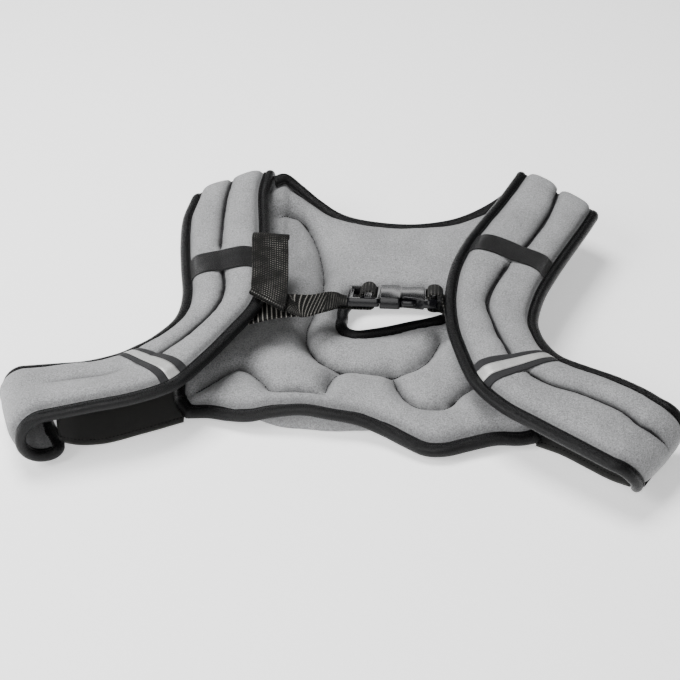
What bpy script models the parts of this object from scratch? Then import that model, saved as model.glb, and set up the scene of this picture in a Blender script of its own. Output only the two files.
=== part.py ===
"""Weighted training vest, lying on its back with its shoulder straps folded over the front.

Every size is in millimetres and is scaled to metres when a mesh is made. The tables hold the
shape: one row for each section of a strap, each point of an outline or each sewn line. X points
to the wearer's left, Y to the neck and Z up from the surface that the vest lies on. Left and
right in the names are as seen from above with the hem nearest, so the left strap is toward -X.
"""
import math

import bmesh
import bpy
import numpy as np
from mathutils import Vector
from mathutils.geometry import delaunay_2d_cdt

MM = 0.001
GAP = 0.35

# Padded fabric: half thickness where it is sewn flat, and the height of a filled lobe
FLAT = 2.0
RIM = 9.0
STRAP_TOP = 10.0
STRAP_BACK = 7.0
PANEL_TOP = 14.5
PANEL_BACK = 10.5
LOBE_RADIUS = 26.0
LOBE_START = 1.0
PANEL_MID = 10.0
EDGE_REACH = 34.0
LOBE_SHOULDER = 0.80
SEAM_DEPTH_SHARE = 0.62

# How full the strap is at its first and last sections, and how much its inner face is squeezed there
FILL_FOLD = (0.0, 0.35, 0.6, 0.75, 0.9)
FILL_CURL = (0.72, 0.72, 0.72, 0.5, 0.0, 0.0)
BACK_IN_FOLD = 0.35
BACK_IN_CURL = 0.6

# Binding tape folded over every edge
TAPE = 1.2
TAPE_GAP = 0.8
TAPE_DEPTH = 8.3
TAPE_STEP = 15.0
TAPE_END_SHARE = 0.25

# Shoulder fold and curled wing ends
FOLD_RADIUS_INNER = 5.5
FOLD_RADIUS_OUTER = 11.0
FOLD_TUCK = 10.0
FOLD_STEPS = 5
CURL_LOW = 8.2
CURL_SWEEP = {1.0: 222.0, -1.0: 150.0}
CURL_STEPS = {1.0: 9, -1.0: 6}
CURL_DRIFT = {1.0: ((0, 0), (0, 0)), -1.0: ((12, 18), (3, 5))}
STRAP_STEP = 20.0
PANEL_GRID = 14.0
SEAM_STEP = 12.0

# Webbing, buckle and bands
WEB = 1.7
WEB_WIDTH = 31.0
BELT = 2.4
BAND = 0.7
BAND_LIFT = 0.5
LABEL_WIDTH = 25.0
LABEL_AT = {1.0: 133.0, -1.0: 121.0}
REFLECT_WIDTH = 14.0
REFLECT_BASE_WIDTH = 27.0
REFLECT_AT = {1.0: 286.0, -1.0: 282.0}

# Side-release buckle: place of its upper near corner, turn, roll and main sizes
BUCKLE_CORNER = (-15.7, -16.0, 56.0)
BUCKLE_TURN = 5.2
BUCKLE_ROLL = 19.0
BUCKLE_WIDTH = 42.0
LOCK_LENGTH = 27.0
LOCK_THICK = 7.0
LOCK_RAIL = 5.0
SOCKET_LENGTH = 45.0
SOCKET_THICK = 10.0
ARM_THICK = 4.0
LOCK_SLOTS = ((4.5, 11.0), (20.5, 25.0))
BAR_SLOT = (62.7, 66.6)
BUTTON_WINDOW = (46.0, 60.0, 6.0)
TAIL_START = 62.0
TAIL_INSET = 3.0
ARM_OUTLINE = [(26.0, 6.0), (47.2, 6.0), (48.6, 1.2), (55.0, 1.2), (59.0, 6.0), (59.0, 10.0), (26.0, 10.0)]
ARM_ROOM = (59.4, 5.5, 10.5)

COLOURS = {
    "neoprene": ((0.40, 0.41, 0.42), 0.85, 0.0),
    "tape": ((0.030, 0.031, 0.033), 0.75, 0.0),
    "label": ((0.018, 0.018, 0.019), 0.80, 0.0),
    "band": ((0.060, 0.062, 0.064), 0.80, 0.0),
    "reflective": ((0.62, 0.63, 0.62), 0.35, 0.2),
    "belt": ((0.045, 0.044, 0.042), 0.85, 0.0),
    "webbing": ((0.055, 0.054, 0.050), 0.80, 0.0),
    "buckle": ((0.020, 0.020, 0.021), 0.32, 0.0),
}

# One row for each section of a shoulder strap, from the shoulder fold to the wing's curl:
# the inner and outer edge, where the sewn line crosses (0 inner, 1 outer) and how deep it is
STRAP_COLUMNS = ("inner_x", "inner_y", "inner_z", "outer_x", "outer_y", "outer_z", "seam_at", "seam")
SEAM_AT = STRAP_COLUMNS.index("seam_at")
SEAM = STRAP_COLUMNS.index("seam")
STRAP_LEFT = [
    (-117, 171, 59, -188, 134, 43, 0.50, 1.0),
    (-115, 137, 58, -187, 104, 43, 0.50, 1.0),
    (-102, 77, 58, -179, 63, 43, 0.53, 1.0),
    (-95, 37, 57, -169, 25, 42, 0.53, 0.2),
    (-87, -6, 55, -158, -15, 40, 0.50, 1.0),
    (-88, -38, 53, -157, -46, 38, 0.52, 1.0),
    (-100, -72, 50, -169, -72, 36, 0.52, 1.0),
    (-114, -110, 49, -182, -86, 34, 0.52, 0.9),
    (-131, -145, 48, -194, -97, 33, 0.52, 0.1),
    (-157, -167, 48, -216, -109, 32, 0.50, 0.25),
    (-190, -184, 48, -239, -116, 32, 0.50, 0.30),
    (-221, -199, 47, -266, -125, 33, 0.50, 0.10),
]
STRAP_RIGHT = [
    (113, 209, 59, 189, 165, 45, 0.50, 1.0),
    (99, 162, 58, 180, 136, 45, 0.56, 1.0),
    (82, 112, 57, 164, 88, 45, 0.58, 0.8),
    (73, 81, 57, 155, 59, 45, 0.55, 0.2),
    (66, 45, 55, 146, 25, 45, 0.50, 1.0),
    (65, 8, 52, 142, -10, 45, 0.45, 1.0),
    (69, -28, 50, 146, -33, 46, 0.50, 1.0),
    (78, -60, 48, 154, -51, 47, 0.52, 1.0),
    (95, -102, 46, 165, -63, 47, 0.50, 0.1),
    (118, -129, 45, 184, -72, 47, 0.52, 0.9),
    (147, -148, 44, 208, -82, 47, 0.58, 1.0),
    (178, -167, 43, 229, -93, 46, 0.60, 0.9),
    (203, -181, 41, 243, -103, 45, 0.58, 0.3),
]

# Outline of the back panel: x, y and the height of the edge above the surface
NECKLINE = [
    (-117, 170, 48), (-105, 178, 49), (-89, 175, 43), (-71, 169, 34), (-50, 162, 27),
    (-28, 158, 24), (6, 159, 22), (34, 165, 22), (61, 175, 25), (87, 189, 34), (113, 208, 48),
]
ARMHOLE_RIGHT = [
    (179, 164, 23), (166, 142, 18), (146, 100, 14), (136, 50, 12), (137, 0, 11),
    (146, -50, 9), (153, -85, 8), (156, -101, 8),
]
HEM = [
    (152, -118, 8), (138, -124, 8), (119, -128, 9), (99, -137, 8), (82, -146, 8), (65, -148, 8),
    (48, -142, 10), (29, -133, 12), (8, -128, 16), (-14, -128, 19), (-36, -127, 20),
    (-58, -130, 17), (-78, -133, 12), (-97, -131, 9), (-112, -129, 8), (-129, -132, 8),
]
ARMHOLE_LEFT = [
    (-139, -121, 9), (-145, -104, 9), (-149, -70, 9), (-150, -20, 11), (-148, 40, 12),
    (-152, 85, 14), (-162, 112, 18), (-178, 133, 21),
]
BACK_HOLE = [
    (-22, 28, 13), (-21, 10, 13), (-19, -8, 13), (-10, -15, 13), (8, -9, 13), (34, 5, 13),
    (56, 17, 13), (66, 28, 14), (66, 42, 14), (56, 51, 14), (22, 50, 14), (-12, 42, 13),
]

# Sewn lines that divide the back panel's filling, as points of x and y
SEWN_LINES = {
    "ring": [
        (-106, 140), (-92, 147), (-78, 139), (-64, 114), (-54, 83), (-48, 50), (-49, 18), (-52, -10),
        (-47, -36), (-34, -55), (-14, -66), (12, -67), (38, -60), (54, -42), (64, -8),
    ],
    "left_mound": [
        (-128, -112), (-112, -90), (-100, -77), (-87, -79), (-74, -91), (-64, -103), (-44, -103), (-22, -102),
    ],
    "fork": [(-22, -102), (-20, -82), (-14, -68)],
    "right_lobe": [(29, -64), (36, -83), (47, -98), (62, -104), (77, -98), (88, -79), (100, -66), (124, -56)],
}

# Flat side belts from the wing's end to the back panel: near and far edge, and height
BELT_COLUMNS = ("near_x", "near_y", "far_x", "far_y", "z")
BELT_LEFT = [
    (-209, -189.5, -235, -123.5, 17), (-198, -184, -224, -118, 6), (-186, -178, -212, -108, 2),
    (-160, -163, -184, -86, 1.8), (-131, -146, -144, -58, 3.5),
]
BELT_RIGHT = [
    (221.5, -162, 249.5, -110, 7.9), (208, -151, 236, -98, 3), (192, -140, 218, -84, 2),
    (172, -127, 190, -68, 1.8), (150, -119, 147, -50, 2.7),
]

# Chest webbing, a row of near x, y, z and far x, y, z for each section: sewn end to ladder lock,
# the way round the lock's middle bar in the buckle's own axes (along, up), and the free tail
WEB_FIXED = [
    (-97, -57, 44.9, -96, -25, 46.3), (-88, -56, 45.7, -88, -24, 47.1), (-70, -52, 47.0, -70, -21, 47.6),
    (-46, -43, 47.6, -48, -12, 46.6), (-28, -24, 47.0, -31, 7, 42.0),
]
LOCK_LOOP = [
    (-6.0, -7.2), (4.0, -7.4), (14.0, -7.4), (21.5, -6.4), (23.9, -2.0), (23.6, 3.0), (20.5, 6.6),
    (16.0, 7.6), (11.5, 6.4), (8.6, 2.5), (8.4, -2.0), (6.0, -4.9), (-2.0, -4.9),
]
WEB_TAIL = [
    (-28, -25, 50.0, -31, 6, 45.6), (-46, -43, 52.5, -50, -12, 52.5), (-60, -46, 57.0, -91, -15, 62.5),
    (-64, -46, 58.0, -95, -15, 63.0),
]
TAIL_RISE = [
    (-64, -36, 61.0, -96, -6, 66.5), (-69, -6, 62.5, -100, 4, 67.5), (-76, 26, 64.5, -106, 26, 69.0),
    (-80, 52, 65.5, -111, 50, 70.0),
]
TAIL_FOLD_RADIUS = 1.3
TAIL_HEM_RADIUS = 1.9

# The short webbing loop that holds the buckle's socket to the right strap
SOCKET_LOOP = [
    (74.0, -7.2), (68.0, -7.2), (65.2, -6.2), (64.5, -3.0), (64.5, 3.0), (65.2, 6.2), (68.0, 7.0),
    (72.6, 7.0), (75.6, 4.6), (76.2, 0.5),
]
SOCKET_LOOP_TOP_END = [(66, -14, 43.9, 66, 17, 45.7), (76, -15, 43.6, 76, 16, 44.4)]
SOCKET_LOOP_LOW_END = [(76.5, -15, 41.2, 76.5, 16, 42.0), (68, -14, 41.4, 68, 17, 42.4)]


def material(name):
    """Return the Principled material of that name, made once."""
    if name in bpy.data.materials:
        return bpy.data.materials[name]
    colour, roughness, metallic = COLOURS[name]
    made = bpy.data.materials.new(name)
    made.use_nodes = True
    shader = made.node_tree.nodes["Principled BSDF"]
    shader.inputs["Base Color"].default_value = (*colour, 1.0)
    shader.inputs["Roughness"].default_value = roughness
    shader.inputs["Metallic"].default_value = metallic
    return made


def add_object(name, vertices, faces, finish):
    """Make one closed, outward-facing object from points in millimetres."""
    mesh = bpy.data.meshes.new(name)
    mesh.from_pydata([Vector(v) * MM for v in vertices], [], [list(map(int, face)) for face in faces])
    work = bmesh.new()
    work.from_mesh(mesh)
    bmesh.ops.recalc_face_normals(work, faces=work.faces)
    bmesh.ops.triangulate(work, faces=work.faces)
    if work.calc_volume(signed=True) < 0.0:
        bmesh.ops.reverse_faces(work, faces=work.faces)
    work.to_mesh(mesh)
    work.free()
    mesh.materials.append(material(finish))
    mesh.shade_smooth()
    mesh.set_sharp_from_angle(angle=math.radians(50.0))
    made = bpy.data.objects.new(name, mesh)
    bpy.context.collection.objects.link(made)
    return made


def curve_between(padded, size, step):
    """Return rows about `step` mm apart on the smooth curve through all but the first and last row."""
    result = []
    for i in range(1, len(padded) - 2):
        before, start, end, after = padded[i - 1:i + 3]
        length = np.linalg.norm((end - start)[:size])
        count = max(1, int(round(length / step)))
        for k in range(count):
            t = k / count
            result.append(0.5 * (2 * start + (end - before) * t
                                 + (2 * before - 5 * start + 4 * end - after) * t ** 2
                                 + (3 * start - before - 3 * end + after) * t ** 3))
    return result


def smooth_rows(rows, step):
    """Return table rows along a smooth curve through all rows, about `step` mm apart."""
    rows = np.array(rows, float)
    padded = np.vstack([2 * rows[0] - rows[1], rows, 2 * rows[-1] - rows[-2]])
    return np.array(curve_between(padded, 3, step) + [rows[-1]])


def unit(vector):
    """Return the vector at length one."""
    return vector / np.linalg.norm(vector)


def loft(sections):
    """Return vertices and faces of a closed bar through equal loops of points, with end caps."""
    count = len(sections[0])
    vertices = [point for section in sections for point in section]
    faces = []
    for i in range(len(sections) - 1):
        for k in range(count):
            a = i * count + k
            b = i * count + (k + 1) % count
            faces.append((a, b, b + count, a + count))
    faces.append(tuple(range(count))[::-1])
    faces.append(tuple(range((len(sections) - 1) * count, len(sections) * count)))
    return vertices, faces


def frames(rows, side):
    """Return for each row the inner point, the outer point, the unit way across and the outward normal."""
    inner = rows[:, 0:3]
    outer = rows[:, 3:6]
    middle = (inner + outer) / 2
    along = np.gradient(middle, axis=0)
    result = []
    for i in range(len(rows)):
        across = unit(outer[i] - inner[i])
        normal = unit(np.cross(across, along[i])) * side
        result.append((inner[i], outer[i], across, normal))
    return result


def fold_rows(first, side):
    """Return rows that carry the strap from the seam with the back panel up over the shoulder."""
    rows = []
    for k in range(FOLD_STEPS):
        angle = math.pi * (1 - k / FOLD_STEPS)
        row = np.array(first, float)
        for start, radius in ((0, FOLD_RADIUS_INNER), (3, FOLD_RADIUS_OUTER)):
            row[start + 1] += radius * math.sin(angle)
            row[start + 2] -= radius * (1 - math.cos(angle))
        row[3] += side * FOLD_TUCK * (1 - math.cos(angle)) / 2
        rows.append(row)
    return rows


def curl_rows(last, side):
    """Return rows that roll the wing's end down to the surface and back under itself."""
    last = np.array(last, float)
    across = unit(last[3:5] - last[0:2])
    away = np.array([-across[1], across[0]]) * side
    rows = []
    steps = CURL_STEPS[side]
    for k in range(1, steps + 1):
        angle = math.radians(CURL_SWEEP[side] * k / steps)
        row = last.copy()
        for start, drift in zip((0, 3), CURL_DRIFT[side]):
            radius = (last[start + 2] - CURL_LOW) / 2
            row[start:start + 2] += away * radius * math.sin(angle) + np.array(drift) * (k / steps) ** 1.5
            row[start + 2] -= radius * (1 - math.cos(angle))
        row[SEAM] = last[SEAM] * (1 - k / steps)
        rows.append(row)
    return rows


def strap_rows(table, side):
    """Return all rows of a strap: fold, chest and wing, and curl."""
    body = smooth_rows(table, STRAP_STEP)
    return np.vstack([fold_rows(table[0], side), body, curl_rows(table[-1], side)])


def strap_fill(count):
    """Return how full the lobes are at each row: flat at both sewn ends, thinner in the curl."""
    fill = np.ones(count)
    fill[:len(FILL_FOLD)] = FILL_FOLD
    fill[-len(FILL_CURL):] = FILL_CURL
    return fill


def strap_back_fill(count):
    """Return how full the lobes are on the strap's inner face, which is squeezed in fold and curl."""
    fill = strap_fill(count)
    fill[:FOLD_STEPS + 1] *= BACK_IN_FOLD
    fill[-len(FILL_CURL):] *= BACK_IN_CURL
    return fill


def strap_profile(width, seam_at, seam):
    """Return the columns of a strap's section: distance in from the inner edge and lobe height 0 to 1."""
    middle = width * seam_at
    first = middle - RIM
    second = width - RIM - middle
    shoulder = LOBE_SHOULDER
    valley = 1 - SEAM_DEPTH_SHARE * seam
    beside = shoulder + (1 - shoulder) * (1 - seam)
    return [
        (0.0, 0.0), (RIM, 0.0),
        (RIM + 0.13 * first, shoulder), (RIM + 0.5 * first, 1.0), (RIM + 0.87 * first, beside),
        (middle, valley),
        (middle + 0.13 * second, beside), (middle + 0.5 * second, 1.0), (middle + 0.87 * second, shoulder),
        (width - RIM, 0.0), (width, 0.0),
    ]


def strap_faces(rows, side):
    """Return the outer and inner face points of a strap, a row of columns for each section."""
    fill = strap_fill(len(rows))
    back_fill = strap_back_fill(len(rows))
    tops = []
    backs = []
    for i, (inner, outer, across, normal) in enumerate(frames(rows, side)):
        width = np.linalg.norm(outer - inner)
        top = []
        back = []
        for distance, lobe in strap_profile(width, rows[i][SEAM_AT], rows[i][SEAM]):
            point = inner + across * distance
            top.append(point + normal * (FLAT + (STRAP_TOP - FLAT) * lobe * fill[i]))
            back.append(point - normal * (FLAT + (STRAP_BACK - FLAT) * lobe * back_fill[i]))
        tops.append(top)
        backs.append(back)
    return np.array(tops), np.array(backs)


def build_strap(name, table, side):
    """Make one padded strap with its wing; where it would pass the surface it lies flat on it."""
    rows = strap_rows(table, side)
    tops, backs = strap_faces(rows, side)
    sections = [list(top) + list(back[::-1]) for top, back in zip(tops, backs)]
    vertices, faces = loft(sections)
    for vertex in vertices:
        vertex[2] = max(vertex[2], 0.0)
    count = len(sections[0])
    columns = len(tops[0])
    faces = faces[:-2]
    for base in (0, (len(sections) - 1) * count):
        for k in range(columns - 1):
            faces.append((base + k, base + k + 1, base + count - 2 - k, base + count - 1 - k))
    return add_object(name, vertices, faces, "neoprene")


def tape_section(edge, inward, normal, inner_point=None):
    """Return the loop of points of the folded tape over one point of an edge."""
    deep = edge + inward * TAPE_DEPTH if inner_point is None else inner_point
    low = FLAT + TAPE_GAP
    high = low + TAPE
    outside = edge - inward * (GAP + TAPE)
    inside_edge = edge - inward * GAP
    return [
        deep + normal * high, edge + normal * high, outside, edge - normal * high, deep - normal * high,
        deep - normal * low, inside_edge - normal * low, inside_edge + normal * low, deep + normal * low,
    ]


def build_strap_tapes(name, table, side):
    """Make the tapes along a strap's inner edge, outer edge and wing end."""
    rows = strap_rows(table, side)
    rows = rows[:-1]
    sections = {"inner": [], "outer": []}
    for inner, outer, across, normal in frames(rows, side):
        sections["inner"].append(tape_section(inner, across, normal))
        sections["outer"].append(tape_section(outer, -across, normal))
    for edge, loops in sections.items():
        loops[0] = shortened(loops[0], loops[1])
        loops[-1] = shortened(loops[-1], loops[-2])
        vertices, faces = loft(loops)
        add_object(f"{name}_{edge}_tape", vertices, faces, "tape")


def build_wing_tape(name, table, side):
    """Make the tape over the wing's rolled-in end."""
    rows = strap_rows(table, side)
    loops = []
    for start in (0, 3):
        edge = rows[-1][start:start + 3]
        back = rows[-2][start:start + 3] - edge
        depth = min(TAPE_DEPTH, np.linalg.norm(back) - 1.0)
        across = unit(rows[-1][3:6] - rows[-1][0:3])
        inward = unit(back - across * np.dot(back, across))
        normal = unit(np.cross(across, inward))
        loops.append(tape_section(edge, inward, normal, edge + unit(back) * depth))
    vertices, faces = loft(loops)
    add_object(f"{name}_end_tape", vertices, faces, "tape")


def closed_outline():
    """Return the back panel's outline, its parts' names and the finer points along it."""
    parts = {"neck": NECKLINE, "right": ARMHOLE_RIGHT, "hem": HEM, "left": ARMHOLE_LEFT}
    points = []
    names = []
    for name, table in parts.items():
        fine = smooth_rows(table, TAPE_STEP)
        points.extend(fine)
        names.extend([name] * len(fine))
    return np.array(points), names


def closed_loop(table, step):
    """Return a smooth closed loop through the rows of a table."""
    ring = list(table) + [table[0]]
    padded = np.array([ring[-2]] + ring + [ring[1]], float)
    return np.array(curve_between(padded, 2, step))


def inward_normals(loop, sign):
    """Return for each point of a closed loop the way into the material."""
    result = []
    for i in range(len(loop)):
        first = unit(loop[i][:2] - loop[i - 1][:2])
        second = unit(loop[(i + 1) % len(loop)][:2] - loop[i][:2])
        way = unit(first + second)
        result.append(np.array([way[1], -way[0]]) * sign)
    return np.array(result)


def distance_to_path(points, path):
    """Return the distance from each point to a path of straight pieces, and the nearest piece and place."""
    best = np.full(len(points), 1e9)
    where = np.zeros(len(points))
    for i in range(len(path) - 1):
        start = path[i][:2]
        span = path[i + 1][:2] - start
        share = np.clip(((points - start) @ span) / (span @ span), 0, 1)
        gap = np.linalg.norm(points - (start + share[:, None] * span), axis=1)
        near = gap < best
        best[near] = gap[near]
        where[near] = i + share[near]
    return best, where


class Panel:
    """The back panel's outline, hole and sewn lines, and its height at any point."""

    def __init__(self):
        self.outline, self.names = closed_outline()
        self.hole = closed_loop(BACK_HOLE, TAPE_STEP)
        self.outline_in = inward_normals(self.outline, 1.0)
        self.hole_in = inward_normals(self.hole, 1.0)
        self.lines = [smooth_rows([(*point, 0.0) for point in line], SEAM_STEP) for line in SEWN_LINES.values()]

    def rim_height(self, points):
        """Return how far each point lies from an edge, and the height the edges give it."""
        height = np.full(len(points), PANEL_MID)
        nearest = np.full(len(points), 1e9)
        for loop in (self.outline, self.hole):
            ring = np.vstack([loop, loop[:1]])
            gap, where = distance_to_path(points, ring)
            index = np.minimum(where.astype(int), len(loop) - 1)
            share = where - index
            edge = ring[index, 2] * (1 - share) + ring[index + 1, 2] * share
            height += (edge - PANEL_MID) * np.exp(-gap / EDGE_REACH)
            nearest = np.minimum(nearest, gap)
        return nearest, height

    def lobe(self, points, nearest):
        """Return how full the filling is at each point, from 0 on a sewn line to 1 on a lobe."""
        depth = nearest - RIM - LOBE_START
        for line in self.lines:
            gap, _ = distance_to_path(points, line)
            depth = np.minimum(depth, gap)
        share = np.clip(depth / LOBE_RADIUS, 0, 1)
        return np.sqrt(1 - (1 - share) ** 2)

    def surfaces(self, points):
        """Return the heights of the face that shows and of the face on the surface."""
        nearest, middle = self.rim_height(points)
        lobe = self.lobe(points, nearest)
        top = middle + FLAT + (PANEL_TOP - FLAT) * lobe
        back = middle - FLAT - (PANEL_BACK - FLAT) * lobe
        return top, np.maximum(back, 0.0)

    def middle(self, point):
        """Return the height of the middle of the fabric at one point."""
        return self.rim_height(np.array([point[:2]]))[1][0]


def inside(point, loop):
    """Return whether a point lies inside a closed loop."""
    result = False
    for i in range(len(loop)):
        ax, ay = loop[i - 1][:2]
        bx, by = loop[i][:2]
        if (ay > point[1]) != (by > point[1]):
            if point[0] < (bx - ax) * (point[1] - ay) / (by - ay) + ax:
                result = not result
    return result


def panel_points(panel):
    """Return the plan points of the back panel and the edges that its triangles must keep."""
    points = []
    edges = []

    def add_path(path, closed):
        """Add a path of points and its edges."""
        start = len(points)
        points.extend(np.array(path)[:, :2])
        last = len(points) - 1
        edges.extend((k, k + 1) for k in range(start, last))
        if closed:
            edges.append((last, start))

    add_path(panel.outline, True)
    add_path(panel.outline[:, :2] + panel.outline_in * RIM, True)
    add_path(panel.hole, True)
    add_path(panel.hole[:, :2] + panel.hole_in * RIM, True)
    for line in panel.lines:
        add_path(line, False)
    fixed = np.array(points)
    low = panel.outline[:, :2].min(axis=0)
    high = panel.outline[:, :2].max(axis=0)
    across = PANEL_GRID * math.sqrt(3) / 2
    for row in range(int((high[1] - low[1]) / across) + 1):
        for column in range(int((high[0] - low[0]) / PANEL_GRID) + 2):
            spot = low + np.array([(column - 0.5 * (row % 2)) * PANEL_GRID, row * across])
            if not inside(spot, panel.outline) or inside(spot, panel.hole):
                continue
            nearest = panel.rim_height(spot[None])[0][0]
            if nearest > RIM + 4 and np.linalg.norm(fixed - spot, axis=1).min() > 0.5 * PANEL_GRID:
                points.append(spot)
    return points, edges


def build_panel(panel):
    """Make the padded back panel with its bound hole."""
    points, edges = panel_points(panel)
    plan, _, cells, _, _, _ = delaunay_2d_cdt([Vector(p) for p in points], edges, [], 0, 0.01)
    plan = np.array([tuple(p) for p in plan])
    kept = []
    for cell in cells:
        centre = plan[list(cell)].mean(axis=0)
        if inside(centre, panel.outline) and not inside(centre, panel.hole):
            kept.append(cell)
    top, back = panel.surfaces(plan)
    count = len(plan)
    vertices = [(*plan[k], top[k]) for k in range(count)] + [(*plan[k], back[k]) for k in range(count)]
    faces = [tuple(cell) for cell in kept]
    faces += [tuple(k + count for k in reversed(cell)) for cell in kept]
    border = {}
    for cell in kept:
        for k in range(len(cell)):
            a, b = cell[k], cell[(k + 1) % len(cell)]
            if (b, a) in border:
                del border[(b, a)]
            else:
                border[(a, b)] = True
    faces += [(b, a, a + count, b + count) for a, b in border]
    return add_object("back_panel", vertices, faces, "neoprene")


def panel_tape(panel, indexes, loop, inward):
    """Return the tape's sections over a run of points of one of the panel's edges."""
    loops = []
    for i in indexes:
        way = np.array([*inward[i], 0.0])
        edge = np.array([*loop[i][:2], panel.middle(loop[i])])
        deep = edge + way * TAPE_DEPTH
        deep[2] = panel.middle(deep)
        loops.append(tape_section(edge, way, np.array([0.0, 0.0, 1.0]), deep))
    return loops


def build_panel_tapes(panel):
    """Make the tapes along the panel's neckline, armholes, hem and back hole."""
    names = {"neck": "neck_tape", "right": "right_armhole_tape", "hem": "hem_tape", "left": "left_armhole_tape"}
    for part, name in names.items():
        run = [i for i, owner in enumerate(panel.names) if owner == part]
        loops = panel_tape(panel, run, panel.outline, panel.outline_in)
        loops[0] = shortened(loops[0], loops[1])
        loops[-1] = shortened(loops[-1], loops[-2])
        vertices, faces = loft(loops)
        add_object(name, vertices, faces, "tape")
    loops = panel_tape(panel, range(len(panel.hole)), panel.hole, panel.hole_in)
    count = len(loops[0])
    vertices = [point for section in loops for point in section]
    faces = []
    for i in range(len(loops)):
        j = (i + 1) % len(loops)
        for k in range(count):
            m = (k + 1) % count
            faces.append((i * count + k, i * count + m, j * count + m, j * count + k))
    add_object("hole_tape", vertices, faces, "tape")


def shortened(section, neighbour):
    """Return an end section moved a little to its neighbour, so that two tapes meet with a gap."""
    share = TAPE_END_SHARE
    return [np.array(a) * (1 - share) + np.array(b) * share for a, b in zip(section, neighbour)]


def build_band(name, table, side, centre, width, lift, thickness, finish):
    """Make a band over a strap's outer face, `centre` mm down from the fold and `width` mm wide."""
    rows = strap_rows(table, side)
    tops, _ = strap_faces(rows, side)
    normals = np.array([frame[3] for frame in frames(rows, side)])
    middle = (rows[:, 0:3] + rows[:, 3:6]) / 2
    travelled = np.concatenate([[0.0], np.cumsum(np.linalg.norm(np.diff(middle, axis=0), axis=1))])
    travelled -= travelled[FOLD_STEPS]
    low, high = centre - width / 2, centre + width / 2
    places = [low] + [place for place in travelled if low + 1 < place < high - 1] + [high]
    sections = []
    for place in places:
        i = int(np.searchsorted(travelled, place)) - 1
        share = (place - travelled[i]) / (travelled[i + 1] - travelled[i])
        line = tops[i] * (1 - share) + tops[i + 1] * share
        normal = unit(normals[i] * (1 - share) + normals[i + 1] * share)
        line = line[1:-1] + normal * lift
        sections.append(list(line + normal * thickness) + list(line[::-1]))
    vertices, faces = loft(sections)
    faces = faces[:-2]
    count = len(sections[0])
    for base in (0, (len(sections) - 1) * count):
        for k in range(count // 2 - 1):
            faces.append((base + k, base + k + 1, base + count - 2 - k, base + count - 1 - k))
    return add_object(name, vertices, faces, finish)


def build_bands(name, table, side):
    """Make a strap's plain label band and its reflective strip on a dark base."""
    build_band(f"{name}_label", table, side, LABEL_AT[side], LABEL_WIDTH, BAND_LIFT, BAND, "label")
    build_band(f"{name}_reflector_base", table, side, REFLECT_AT[side], REFLECT_BASE_WIDTH, BAND_LIFT, BAND, "band")
    lift = BAND_LIFT + BAND + GAP
    build_band(f"{name}_reflector", table, side, REFLECT_AT[side], REFLECT_WIDTH, lift, BAND, "reflective")


def build_ribbon(name, rows, thickness, finish):
    """Make a flat woven strip between two edge lines."""
    rows = np.array(rows, float)
    sections = []
    for inner, outer, _, normal in frames(rows, 1.0):
        shift = normal * thickness / 2
        sections.append([inner + shift, outer + shift, outer - shift, inner - shift])
    vertices, faces = loft(sections)
    return add_object(name, vertices, faces, finish)


def belt_rows(table):
    """Return a belt's table as edge rows at one height for each section."""
    rows = []
    for values in table:
        row = dict(zip(BELT_COLUMNS, values))
        rows.append((row["near_x"], row["near_y"], row["z"], row["far_x"], row["far_y"], row["z"]))
    return rows


def buckle_axes():
    """Return the buckle's corner in its middle plane and its unit ways along, across and up."""
    turn = math.radians(BUCKLE_TURN)
    roll = math.radians(BUCKLE_ROLL)
    along = np.array([math.cos(turn), math.sin(turn), 0.0])
    across = np.array([-math.sin(turn) * math.cos(roll), math.cos(turn) * math.cos(roll), -math.sin(roll)])
    up = np.cross(along, across)
    corner = np.array(BUCKLE_CORNER) - up * LOCK_THICK / 2
    return corner, along, across, up


def on_buckle(point):
    """Return the place of a point given along, across and up from the buckle's corner."""
    corner, along, across, up = buckle_axes()
    return corner + along * point[0] + across * point[1] + up * point[2]


def loop_rows(route):
    """Return webbing rows that follow a route of (along, up) through a slot of the buckle."""
    near = (BUCKLE_WIDTH - WEB_WIDTH) / 2
    far = near + WEB_WIDTH
    return [np.concatenate([on_buckle((a, near, u)), on_buckle((a, far, u))]) for a, u in route]


def web_rows():
    """Return the chest webbing's rows: sewn end, ladder lock, tail, slanting fold, rise and hem."""
    rows = [np.array(row, float) for row in WEB_FIXED]
    rows.extend(loop_rows(LOCK_LOOP))
    rows.extend(np.array(row, float) for row in WEB_TAIL)
    last = rows[-1]
    across = unit(last[3:5] - last[0:2])
    away = np.array([-across[1], across[0], 0.0])
    if away[1] > 0:
        away = -away
    for k in range(1, 5):
        angle = math.pi * k / 4
        step = away * TAIL_FOLD_RADIUS * math.sin(angle)
        step[2] = TAIL_FOLD_RADIUS * (1 - math.cos(angle))
        rows.append(last + np.concatenate([step, step]))
    rows.extend(np.array(row, float) for row in TAIL_RISE)
    end = rows[-1]
    for k in range(1, 7):
        angle = math.radians(45.0 * k)
        step = np.array([0.0, TAIL_HEM_RADIUS * math.sin(angle), -TAIL_HEM_RADIUS * (1 - math.cos(angle))])
        rows.append(end + np.concatenate([step, step]))
    return rows


def socket_loop_rows():
    """Return the rows of the loop from the right strap round the socket's end bar and back."""
    rows = [np.array(row, float) for row in SOCKET_LOOP_LOW_END]
    rows.extend(loop_rows(SOCKET_LOOP))
    rows.extend(np.array(row, float) for row in SOCKET_LOOP_TOP_END)
    return rows


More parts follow.
